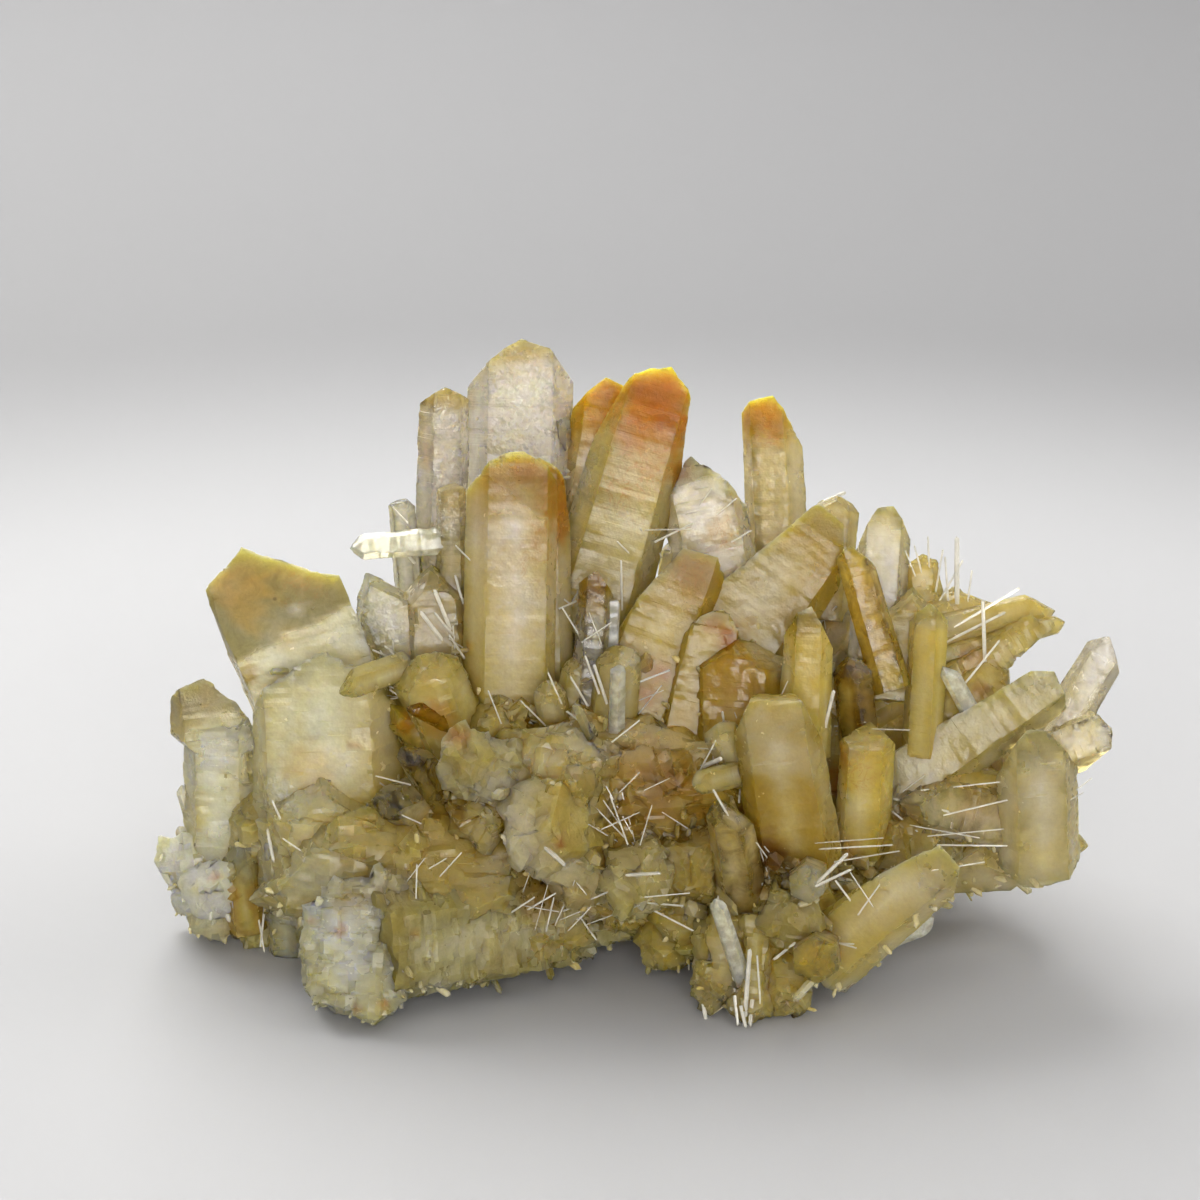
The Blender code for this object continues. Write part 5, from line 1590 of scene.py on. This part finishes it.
# parts of the front that are a mass of small crystals: u, v ranges and a number
CROWDED = [(430, 735, 650, 880, 26), (360, 690, 470, 840, 18), (590, 640, 760, 760, 16), (640, 760, 740, 900, 26),
           (700, 850, 860, 1010, 34), (820, 780, 1010, 880, 30), (560, 880, 720, 990, 34), (170, 840, 300, 940, 12),
           (400, 850, 620, 970, 12), (470, 660, 660, 740, 10), (880, 560, 1000, 700, 16)]

# needles and rods of the front: foot (u, v), tip (u, v), width in units, how
# much nearer to the eye the tip is than the foot, in mm
NEEDLES = [
    (449, 626, 434, 589, 7.0, 2.0), (440, 637, 420, 611, 8.0, 2.0), (452, 634, 434, 612, 5.0, 2.5), (462, 600, 455, 575, 4.0, 1.5),
    (628, 552, 617, 541, 2.5, 1.0), (622, 606, 621, 560, 3.0, 1.5), (578, 633, 562, 607, 3.5, 2.0), (655, 542, 694, 523, 4.0, 2.0),
    (648, 530, 692, 529, 3.0, 1.5), (660, 555, 640, 528, 3.0, 1.5), (640, 712, 662, 685, 3.5, 2.5), (640, 700, 664, 690, 2.0, 2.0),
    (616, 702, 614, 678, 3.0, 1.5), (622, 712, 621, 672, 3.5, 2.0), (606, 700, 594, 664, 5.0, 2.0), (598, 690, 585, 655, 4.0, 2.0),
    (588, 706, 570, 676, 4.0, 2.0), (581, 722, 566, 711, 4.5, 1.5), (600, 640, 589, 612, 3.0, 1.5), (560, 700, 548, 672, 3.5, 1.5),
    (585, 640, 612, 622, 3.0, 1.5), (612, 742, 640, 720, 3.0, 1.5), (545, 725, 520, 700, 3.0, 1.5), (500, 720, 488, 690, 3.0, 1.5),
    (826, 723, 834, 690, 6.0, 1.5), (838, 726, 866, 722, 2.5, 1.5), (836, 731, 870, 733, 2.0, 1.5), (876, 729, 910, 730, 2.5, 1.5),
    (957, 600, 957, 536, 8.0, 0.5), (948, 600, 945, 556, 4.0, 0.5), (929, 565, 928, 536, 3.5, 0.5), (936, 590, 943, 549, 3.5, 0.5),
    (940, 600, 963, 560, 3.5, 0.5), (915, 575, 905, 550, 3.0, 0.5), (921, 570, 914, 545, 3.0, 0.5), (968, 600, 972, 570, 3.0, 0.5),
    (950, 640, 1006, 612, 4.0, 1.5), (958, 625, 1020, 588, 4.0, 1.0), (985, 660, 983, 600, 6.0, 1.5), (960, 690, 1000, 640, 4.0, 1.5),
    (1040, 640, 1067, 616, 3.0, 0.5), (1076, 790, 1092, 778, 2.0, 0.5), (1070, 800, 1084, 792, 2.0, 0.5), (1084, 786, 1090, 796, 1.6, 0.5),
    (822, 849, 893, 845, 3.0, 2.5), (818, 843, 884, 838, 2.5, 2.0), (834, 862, 900, 851, 2.5, 2.0), (941, 845, 1008, 846, 3.0, 1.5),
    (930, 836, 1004, 829, 2.5, 1.5), (945, 815, 1008, 800, 3.0, 1.5), (914, 826, 980, 838, 2.5, 1.5), (898, 800, 950, 812, 5.0, 2.0),
    (893, 812, 918, 832, 3.0, 2.0), (905, 790, 925, 775, 3.0, 1.5), (936, 870, 985, 862, 2.5, 1.5), (925, 790, 1000, 782, 3.0, 1.0),
    (628, 875, 661, 873, 7.0, 3.5), (655, 911, 694, 931, 3.0, 3.0), (648, 903, 684, 906, 3.0, 2.5), (645, 897, 690, 893, 2.5, 2.5),
    (527, 910, 556, 893, 3.0, 3.0), (563, 911, 608, 892, 3.0, 3.0), (523, 892, 530, 872, 2.0, 2.0), (547, 928, 554, 897, 2.5, 2.5),
    (555, 925, 575, 880, 2.0, 2.5), (535, 930, 548, 884, 2.0, 2.5), (577, 883, 587, 895, 3.0, 1.5), (560, 920, 600, 903, 2.0, 2.5),
    (520, 905, 560, 912, 2.0, 2.0), (569, 930, 590, 908, 2.5, 2.0), (585, 925, 640, 905, 2.0, 3.0), (512, 912, 535, 897, 4.0, 2.0),
    (548, 850, 566, 866, 7.5, 2.5), (632, 842, 603, 800, 3.0, 2.0), (628, 845, 610, 795, 2.5, 2.0), (622, 835, 596, 808, 2.5, 2.0),
    (634, 838, 622, 792, 2.0, 2.0), (615, 840, 588, 824, 2.0, 2.0), (630, 830, 606, 786, 2.0, 1.5), (640, 845, 652, 805, 2.0, 1.5),
    (612, 800, 640, 772, 2.0, 1.5), (600, 830, 640, 812, 2.0, 2.0), (645, 790, 670, 778, 2.0, 1.5), (690, 830, 662, 812, 2.0, 1.5),
    (698, 748, 714, 749, 2.5, 1.5), (704, 766, 722, 758, 8.0, 2.0), (700, 770, 716, 740, 3.0, 1.5), (726, 812, 713, 789, 5.0, 1.5),
    (818, 882, 848, 853, 7.0, 3.0), (816, 886, 852, 869, 6.0, 3.0), (778, 873, 756, 842, 2.5, 2.0), (770, 880, 760, 850, 2.0, 2.0),
    (782, 868, 764, 846, 2.0, 2.0), (776, 958, 796, 942, 5.0, 2.0), (850, 900, 835, 880, 3.0, 2.0), (872, 905, 850, 872, 3.0, 2.0),
    (860, 912, 880, 884, 3.0, 2.0), (268, 833, 274, 863, 7.0, 1.0), (376, 776, 411, 785, 2.5, 1.5), (380, 783, 404, 799, 2.5, 1.5),
    (402, 815, 422, 824, 3.0, 1.5), (372, 800, 398, 788, 2.0, 1.0), (416, 898, 417, 864, 3.0, 1.5), (430, 868, 447, 858, 3.0, 1.5),
    (440, 876, 462, 852, 2.5, 1.5), (408, 880, 425, 858, 2.5, 1.5), (280, 818, 272, 800, 4.0, 1.0), (300, 850, 282, 838, 3.0, 1.0),
    (362, 560, 348, 549, 5.0, 0.5), (405, 520, 392, 506, 4.0, 0.5), (412, 560, 396, 540, 5.0, 0.5), (470, 560, 455, 545, 3.0, 0.5),
    (700, 505, 712, 488, 2.5, 0.5), (720, 512, 737, 498, 3.0, 0.5), (735, 540, 752, 530, 3.0, 0.5), (828, 500, 846, 492, 5.0, 0.5),
    (735, 1000, 738, 1026, 7.0, 0.5), (752, 1004, 750, 1027, 8.0, 0.5), (742, 1010, 746, 1028, 6.0, 0.5), (745, 1012, 750, 948, 9.0, 1.5),
    (760, 1000, 757, 955, 4.0, 1.5), (735, 990, 728, 940, 4.0, 1.5), (690, 1000, 694, 1018, 7.0, 0.5), (704, 1008, 706, 1024, 7.0, 0.5),
]

RUST = srgb(186, 112, 14)
DARK = srgb(96, 64, 18)
BLACK = srgb(34, 24, 14)
# colour that lies on the stone where it is seen at (u, v): radius mm, colour, strength
STAINS = [
    (245, 598, 5.0, srgb(206, 166, 56), 0.55), (225, 585, 3.5, TAN, 0.4), (300, 575, 4.0, TAN, 0.3), (248, 673, 1.8, srgb(170, 138, 60), 0.7),
    (300, 608, 1.3, MILK, 0.9), (353, 746, 0.9, srgb(180, 128, 40), 0.7), (310, 768, 5.0, YELLOW, 0.5), (290, 640, 3.0, YELLOW, 0.3),
    (345, 760, 3.5, MILK, 0.4), (214, 876, 0.9, RUST, 0.6), (212, 690, 2.8, TAN, 0.45), (178, 700, 1.5, TAN, 0.4), (262, 905, 4.0, srgb(150, 120, 50), 0.55),
    (225, 930, 3.0, TAN, 0.4), (311, 921, 0.9, RUST, 0.5), (342, 930, 1.3, RUST, 0.35), (358, 1010, 1.0, RUST, 0.5), (384, 1005, 1.0, RUST, 0.5),
    (415, 933, 0.9, RUST, 0.3), (350, 884, 5.0, srgb(176, 152, 96), 0.5), (395, 878, 5.0, srgb(176, 152, 96), 0.5), (561, 845, 0.8, BROWN, 0.9),
    (425, 450, 3.5, srgb(214, 166, 60), 0.35), (420, 420, 2.5, GOLD, 0.35), (470, 400, 2.5, GOLD, 0.25), (560, 372, 2.5, GOLD, 0.35), (568, 420, 2.5, GOLD, 0.3),
    (500, 475, 4.5, srgb(178, 142, 58), 0.6), (535, 470, 3.5, srgb(168, 118, 34), 0.6), (556, 500, 4.5, srgb(186, 126, 24), 0.65), (564, 525, 3.5, RUST, 0.7),
    (545, 545, 3.5, srgb(190, 142, 50), 0.4), (550, 585, 3.0, TAN, 0.3), (469, 646, 1.2, RUST, 0.5), (480, 520, 4.0, TAN, 0.3),
    (655, 420, 5.0, srgb(196, 122, 8), 0.95), (632, 430, 4.0, srgb(200, 134, 14), 0.7), (680, 432, 4.0, srgb(190, 116, 12), 0.85), (650, 382, 3.6, srgb(158, 98, 26), 0.75),
    (675, 385, 3.2, srgb(176, 112, 24), 0.7), (665, 455, 4.5, srgb(206, 150, 40), 0.6), (680, 470, 3.0, RUST, 0.6), (640, 480, 5.0, srgb(208, 166, 74), 0.4),
    (600, 405, 4.5, srgb(206, 150, 20), 0.85), (590, 430, 4.0, srgb(208, 158, 40), 0.6), (610, 388, 2.5, srgb(170, 122, 36), 0.6),
    (592, 588, 3.6, srgb(160, 122, 14), 0.95), (762, 415, 4.5, srgb(204, 152, 40), 0.75), (782, 425, 3.5, srgb(204, 152, 40), 0.6), (748, 440, 3.0, GOLD, 0.5),
    (720, 530, 3.0, GOLD, 0.45), (735, 515, 2.5, TAN, 0.4), (690, 562, 3.6, srgb(178, 136, 44), 0.7), (705, 580, 3.0, srgb(184, 146, 56), 0.5), (665, 600, 3.0, TAN, 0.3),
    (730, 640, 2.2, srgb(190, 116, 8), 0.85), (660, 672, 2.6, RUST, 0.65), (648, 694, 2.2, RUST, 0.6), (712, 625, 1.6, RUST, 0.5), (744, 626, 2.0, srgb(160, 128, 44), 0.6),
    (742, 700, 6.0, srgb(206, 160, 62), 0.45), (862, 600, 5.0, srgb(210, 170, 66), 0.5), (876, 650, 4.0, srgb(210, 170, 66), 0.5), (886, 676, 2.6, srgb(230, 196, 80), 0.7),
    (848, 672, 3.2, srgb(160, 128, 44), 0.7), (870, 715, 5.5, srgb(140, 104, 34), 0.7), (862, 711, 0.6, BLACK, 0.95), (972, 655, 2.6, RUST, 0.45), (980, 688, 1.6, BROWN, 0.6),
    (836, 780, 3.2, RUST, 0.65), (842, 755, 2.5, RUST, 0.5), (845, 850, 2.4, RUST, 0.4), (905, 818, 3.5, srgb(170, 130, 60), 0.4), (975, 815, 4.0, srgb(170, 130, 60), 0.4),
    (405, 726, 2.2, srgb(206, 140, 10), 0.85), (440, 722, 4.0, srgb(206, 146, 20), 0.6), (455, 735, 2.5, RUST, 0.6), (430, 680, 4.0, YELLOW, 0.4), (455, 812, 3.5, srgb(150, 112, 34), 0.7),
    (655, 800, 6.5, srgb(150, 108, 40), 0.7), (640, 760, 5.5, srgb(168, 124, 44), 0.5), (690, 780, 5.0, srgb(170, 130, 60), 0.45), (620, 830, 5.5, srgb(150, 120, 50), 0.5),
    (540, 900, 4.5, srgb(140, 104, 44), 0.7), (580, 905, 4.0, srgb(150, 120, 60), 0.5), (700, 830, 4.5, srgb(160, 120, 56), 0.5), (768, 850, 3.5, srgb(120, 76, 20), 0.85),
    (760, 880, 3.5, srgb(140, 100, 40), 0.6), (735, 905, 3.0, srgb(160, 124, 64), 0.4), (642, 782, 0.4, BLACK, 0.95), (634, 840, 0.4, BLACK, 0.9), (601, 818, 0.45, BLACK, 0.9),
    (1010, 714, 0.45, BLACK, 0.9), (665, 985, 5.0, srgb(150, 116, 60), 0.5), (720, 1000, 5.0, srgb(176, 150, 96), 0.4), (500, 960, 5.0, srgb(176, 156, 104), 0.4),
]
# where brown veins run, (u, v, radius mm, strength), and where dark flecks lie
VEINS = [(650, 465, 5.5, 0.9), (612, 490, 3.4, 0.8), (672, 440, 4.0, 0.9), (556, 510, 5.0, 0.8), (545, 560, 4.0, 0.5), (640, 520, 3.0, 0.4),
         (768, 432, 3.0, 0.8), (735, 530, 4.0, 0.6), (690, 575, 3.5, 0.6), (300, 590, 4.0, 0.3), (980, 650, 4.0, 0.5), (855, 770, 4.0, 0.5)]
FLECKS = [(845, 895, 4.5, 0.9), (640, 800, 6.0, 0.7), (650, 480, 5.0, 0.6), (270, 620, 7.0, 0.5), (340, 960, 7.0, 0.3), (880, 815, 5.0, 0.5),
          (720, 990, 5.0, 0.5), (1040, 780, 5.0, 0.4), (440, 790, 5.0, 0.4), (215, 890, 4.0, 0.5), (560, 850, 5.0, 0.4)]
DIMPLES = [(522, 385, 6.0, 1.0), (520, 430, 5.0, 1.0), (450, 470, 4.0, 0.8), (448, 420, 3.5, 0.7), (452, 515, 3.5, 0.8), (378, 620, 4.0, 0.8), (275, 797, 3.0, 0.9)]


def place_marks(tree, rows):
    out = []
    for u, v, r, strength in rows:
        p = tree.ray_cast(EYE, ray(u, v).normalized())[0]
        if p is not None:
            out.append((np.array(p), r, strength))
    return out
# ----------------------------------------------------------------------- build
CLEAR_ONES = ("clear_post", "edge_spur", "edge_spur_low", "low_chip", "clear_lean", "left_point", "plate_small", "mid_post",
              "lean_spur", "wing_low")
crystals = all_crystals()
TOPS = {}
for cname, planes, fr, reach in crystals:
    pv, pf = convex(planes, np.array(fr[0]), reach)
    TOPS[cname] = float(((pv - np.array(fr[0])) @ np.array(fr[1])).max())
bulk = Bulk(crystals)
scene = bpy.context.scene
milky = quartz_material("milky_quartz", SCATTER)
fine_milky = quartz_material("milky_quartz_fine", 0.002, 0.6)
clear = clear_material("clear_quartz", 0.72, 0.004, srgb(250, 242, 212))
glassy_milky = quartz_material("milky_quartz_glassy", 0.004, 1.0, 0.30)
needle = clear_material("needle_quartz", 0.52, 0.0, srgb(254, 250, 236))
left = [c for c in crystals if c[0] not in CLEAR_ONES]
joints = []
for gname, rule in GROUPS.items():
    mine = [c for c in left if rule(c[0], np.array(c[2][0]))]
    left = [c for c in left if c not in mine]
    parts = [detailed(c[0], c[1], c[2], look_of(c[0]), c[3]) for c in mine]
    v, faces = joined(gname, parts)
    joints.append((gname, mine, v, faces))
tree = bare_skin([(v, faces) for _, _, v, faces in joints])
stains = place_stains(tree)
veins, flecks, dimples = (place_marks(tree, rows) for rows in (VEINS, FLECKS, DIMPLES))
pieces, shells = [], []
for gname, mine, v, faces in joints:
    obj, shell = dress(gname, v, faces, mine, bulk, scene.collection, stains, veins, flecks, dimples)
    obj.data.materials.append(milky)
    pieces.append(obj)
    shells.append(shell)
    print(gname, "crystals", len(mine), "triangles", sum(len(f) - 2 for f in faces))
skin = Skin(shells)
for obj in druse(skin, bulk, scene.collection):
    obj.data.materials.append(fine_milky if obj.name == "rough_grains" else glassy_milky)
    pieces.append(obj)
obj = needles(skin, bulk, scene.collection)
obj.data.materials.append(needle)
pieces.append(obj)
glassy = [detailed(c[0], c[1], c[2], look_of(c[0]), c[3]) for c in crystals if c[0] in CLEAR_ONES]
offset, gv, gf = 0, [], []
for v, faces in glassy:
    gv.append(v)
    gf += [[i + offset for i in f] for f in faces]
    offset += len(v)
obj = mesh_object("clear_crystals", np.concatenate(gv), gf, scene.collection)
obj.data.shade_smooth()
obj.data.set_sharp_from_angle(angle=math.radians(24))
obj.data.materials.append(clear)
pieces.append(obj)
for obj in pieces:
    print(obj.name, "triangles", sum(len(f.vertices) - 2 for f in obj.data.polygons))
    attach(obj, "root")
    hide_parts("quartz_cluster")

# ----------------------------------------------------------------------- stage
def sweep():
    """A round pale floor that rises at its rim, the same from every side."""
    rings = [(0.0, 0.0)]
    for i in range(1, 25):
        rings.append((0.9 * i / 24, 0.0))
    for i in range(1, 17):
        a = math.pi / 2 * i / 16
        rings.append((0.9 + 0.35 * math.sin(a), 0.35 * (1 - math.cos(a))))
    for i in range(1, 9):
        rings.append((1.25, 0.35 + 0.1 * i))
    bm = bmesh.new()
    n = 96
    rows = []
    for r, z in rings:
        if r == 0:
            rows.append([bm.verts.new((0, 0, z - 0.00002))])
        else:
            rows.append([bm.verts.new((r * math.cos(2 * math.pi * k / n), r * math.sin(2 * math.pi * k / n), z - 0.00002)) for k in range(n)])
    for a, b in zip(rows, rows[1:]):
        for k in range(n):
            if len(a) == 1:
                bm.faces.new((a[0], b[k], b[(k + 1) % n]))
            else:
                bm.faces.new((a[k], b[k], b[(k + 1) % n], a[(k + 1) % n]))
    mesh = bpy.data.meshes.new("floor")
    bm.to_mesh(mesh)
    bm.free()
    mesh.shade_smooth()
    obj = bpy.data.objects.new("floor", mesh)
    scene.collection.objects.link(obj)
    mat = bpy.data.materials.new("pale_floor")
    mat.use_nodes = True
    t = mat.node_tree
    s = t.nodes["Principled BSDF"]
    place = node(t, "ShaderNodeTexCoord")
    size = node(t, "ShaderNodeVectorMath", operation="LENGTH")
    t.links.new(place.outputs["Object"], size.inputs[0])
    # painted shade: the floor darkens from the middle towards the rim, standing in for the light falling off
    falloff_shade = node(t, "ShaderNodeValToRGB")
    falloff_shade.color_ramp.interpolation = "EASE"
    falloff_shade.color_ramp.elements[0].position = 0.17
    falloff_shade.color_ramp.elements[0].color = (0.43, 0.432, 0.44, 1)
    falloff_shade.color_ramp.elements[1].position = 0.36
    falloff_shade.color_ramp.elements[1].color = (0.215, 0.215, 0.22, 1)
    t.links.new(size.outputs["Value"], falloff_shade.inputs["Fac"])
    t.links.new(falloff_shade.outputs["Color"], s.inputs["Base Color"])
    s.inputs["Roughness"].default_value = 0.7
    mesh.materials.append(mat)
    return obj


def area(name, size, place, target, power, colour=(1, 1, 1)):
    data = bpy.data.lights.new(name, "AREA")
    data.shape = "RECTANGLE"
    data.size, data.size_y = size
    data.energy = power
    data.color = colour
    obj = bpy.data.objects.new(name, data)
    obj.location = place
    obj.rotation_euler = (Vector(target) - Vector(place)).to_track_quat("-Z", "Y").to_euler()
    obj.visible_camera = False
    scene.collection.objects.link(obj)
    return obj


sweep()
area("window", (1.2, 0.8), (-0.45, 0.85, 0.80), (0, 0, 0.03), 22.0, (1.0, 0.99, 0.97))
area("side", (0.6, 0.6), (0.85, 0.25, 0.60), (0, 0, 0.03), 4.0, (1.0, 0.98, 0.96))
# soft lights that the broad front faces of the tall crystals mirror
for cname, wide, high, watts in (("tall_back", 0.55, 0.5, 6.8), ("tall_left", 0.34, 0.34, 3.0)):
    tall = [c for c in crystals if c[0] == cname][0]
    view = (Vector(tall[2][0]) - EYE).normalized()
    facing = min((Vector(n) for _, n in tall[1] if abs(Vector(n).dot(tall[2][1])) < 0.3), key=lambda n: n.dot(view))
    mirror = view - 2 * view.dot(facing) * facing
    spot = (Vector(tall[2][0]) + mirror * 1000.0 - Vector(CENTRE)) * MM
    print("front light", cname, tuple(spot), tuple(facing))
    area("front_" + cname, (wide, high), spot, (0, 0, 0.05), watts, (1.0, 0.98, 0.96))
world = bpy.data.worlds.new("studio")
scene.world = world
world.use_nodes = True
world.node_tree.nodes["Background"].inputs["Color"].default_value = (1.0, 0.99, 0.975, 1)
world.node_tree.nodes["Background"].inputs["Strength"].default_value = 0.78

cam = bpy.data.cameras.new("camera")
cam.sensor_width = 36
cam.lens = 120
cam.clip_start = 0.01
camera = bpy.data.objects.new("camera", cam)
camera.location = (EYE - CENTRE) * MM
camera.rotation_euler = (math.pi / 2 - EYE_ELEVATION, 0, 0)
scene.collection.objects.link(camera)
scene.camera = camera
scene.view_settings.view_transform = "Standard"
scene.cycles.use_denoising = True
scene.cycles.max_bounces = 6
scene.cycles.use_adaptive_sampling = True
scene.cycles.adaptive_threshold = 0.14
scene.cycles.adaptive_min_samples = 8
scene.cycles.diffuse_bounces = 2
scene.cycles.glossy_bounces = 2
scene.cycles.transmission_bounces = 5
scene.cycles.caustics_reflective = False
scene.cycles.sample_clamp_indirect = 6.0
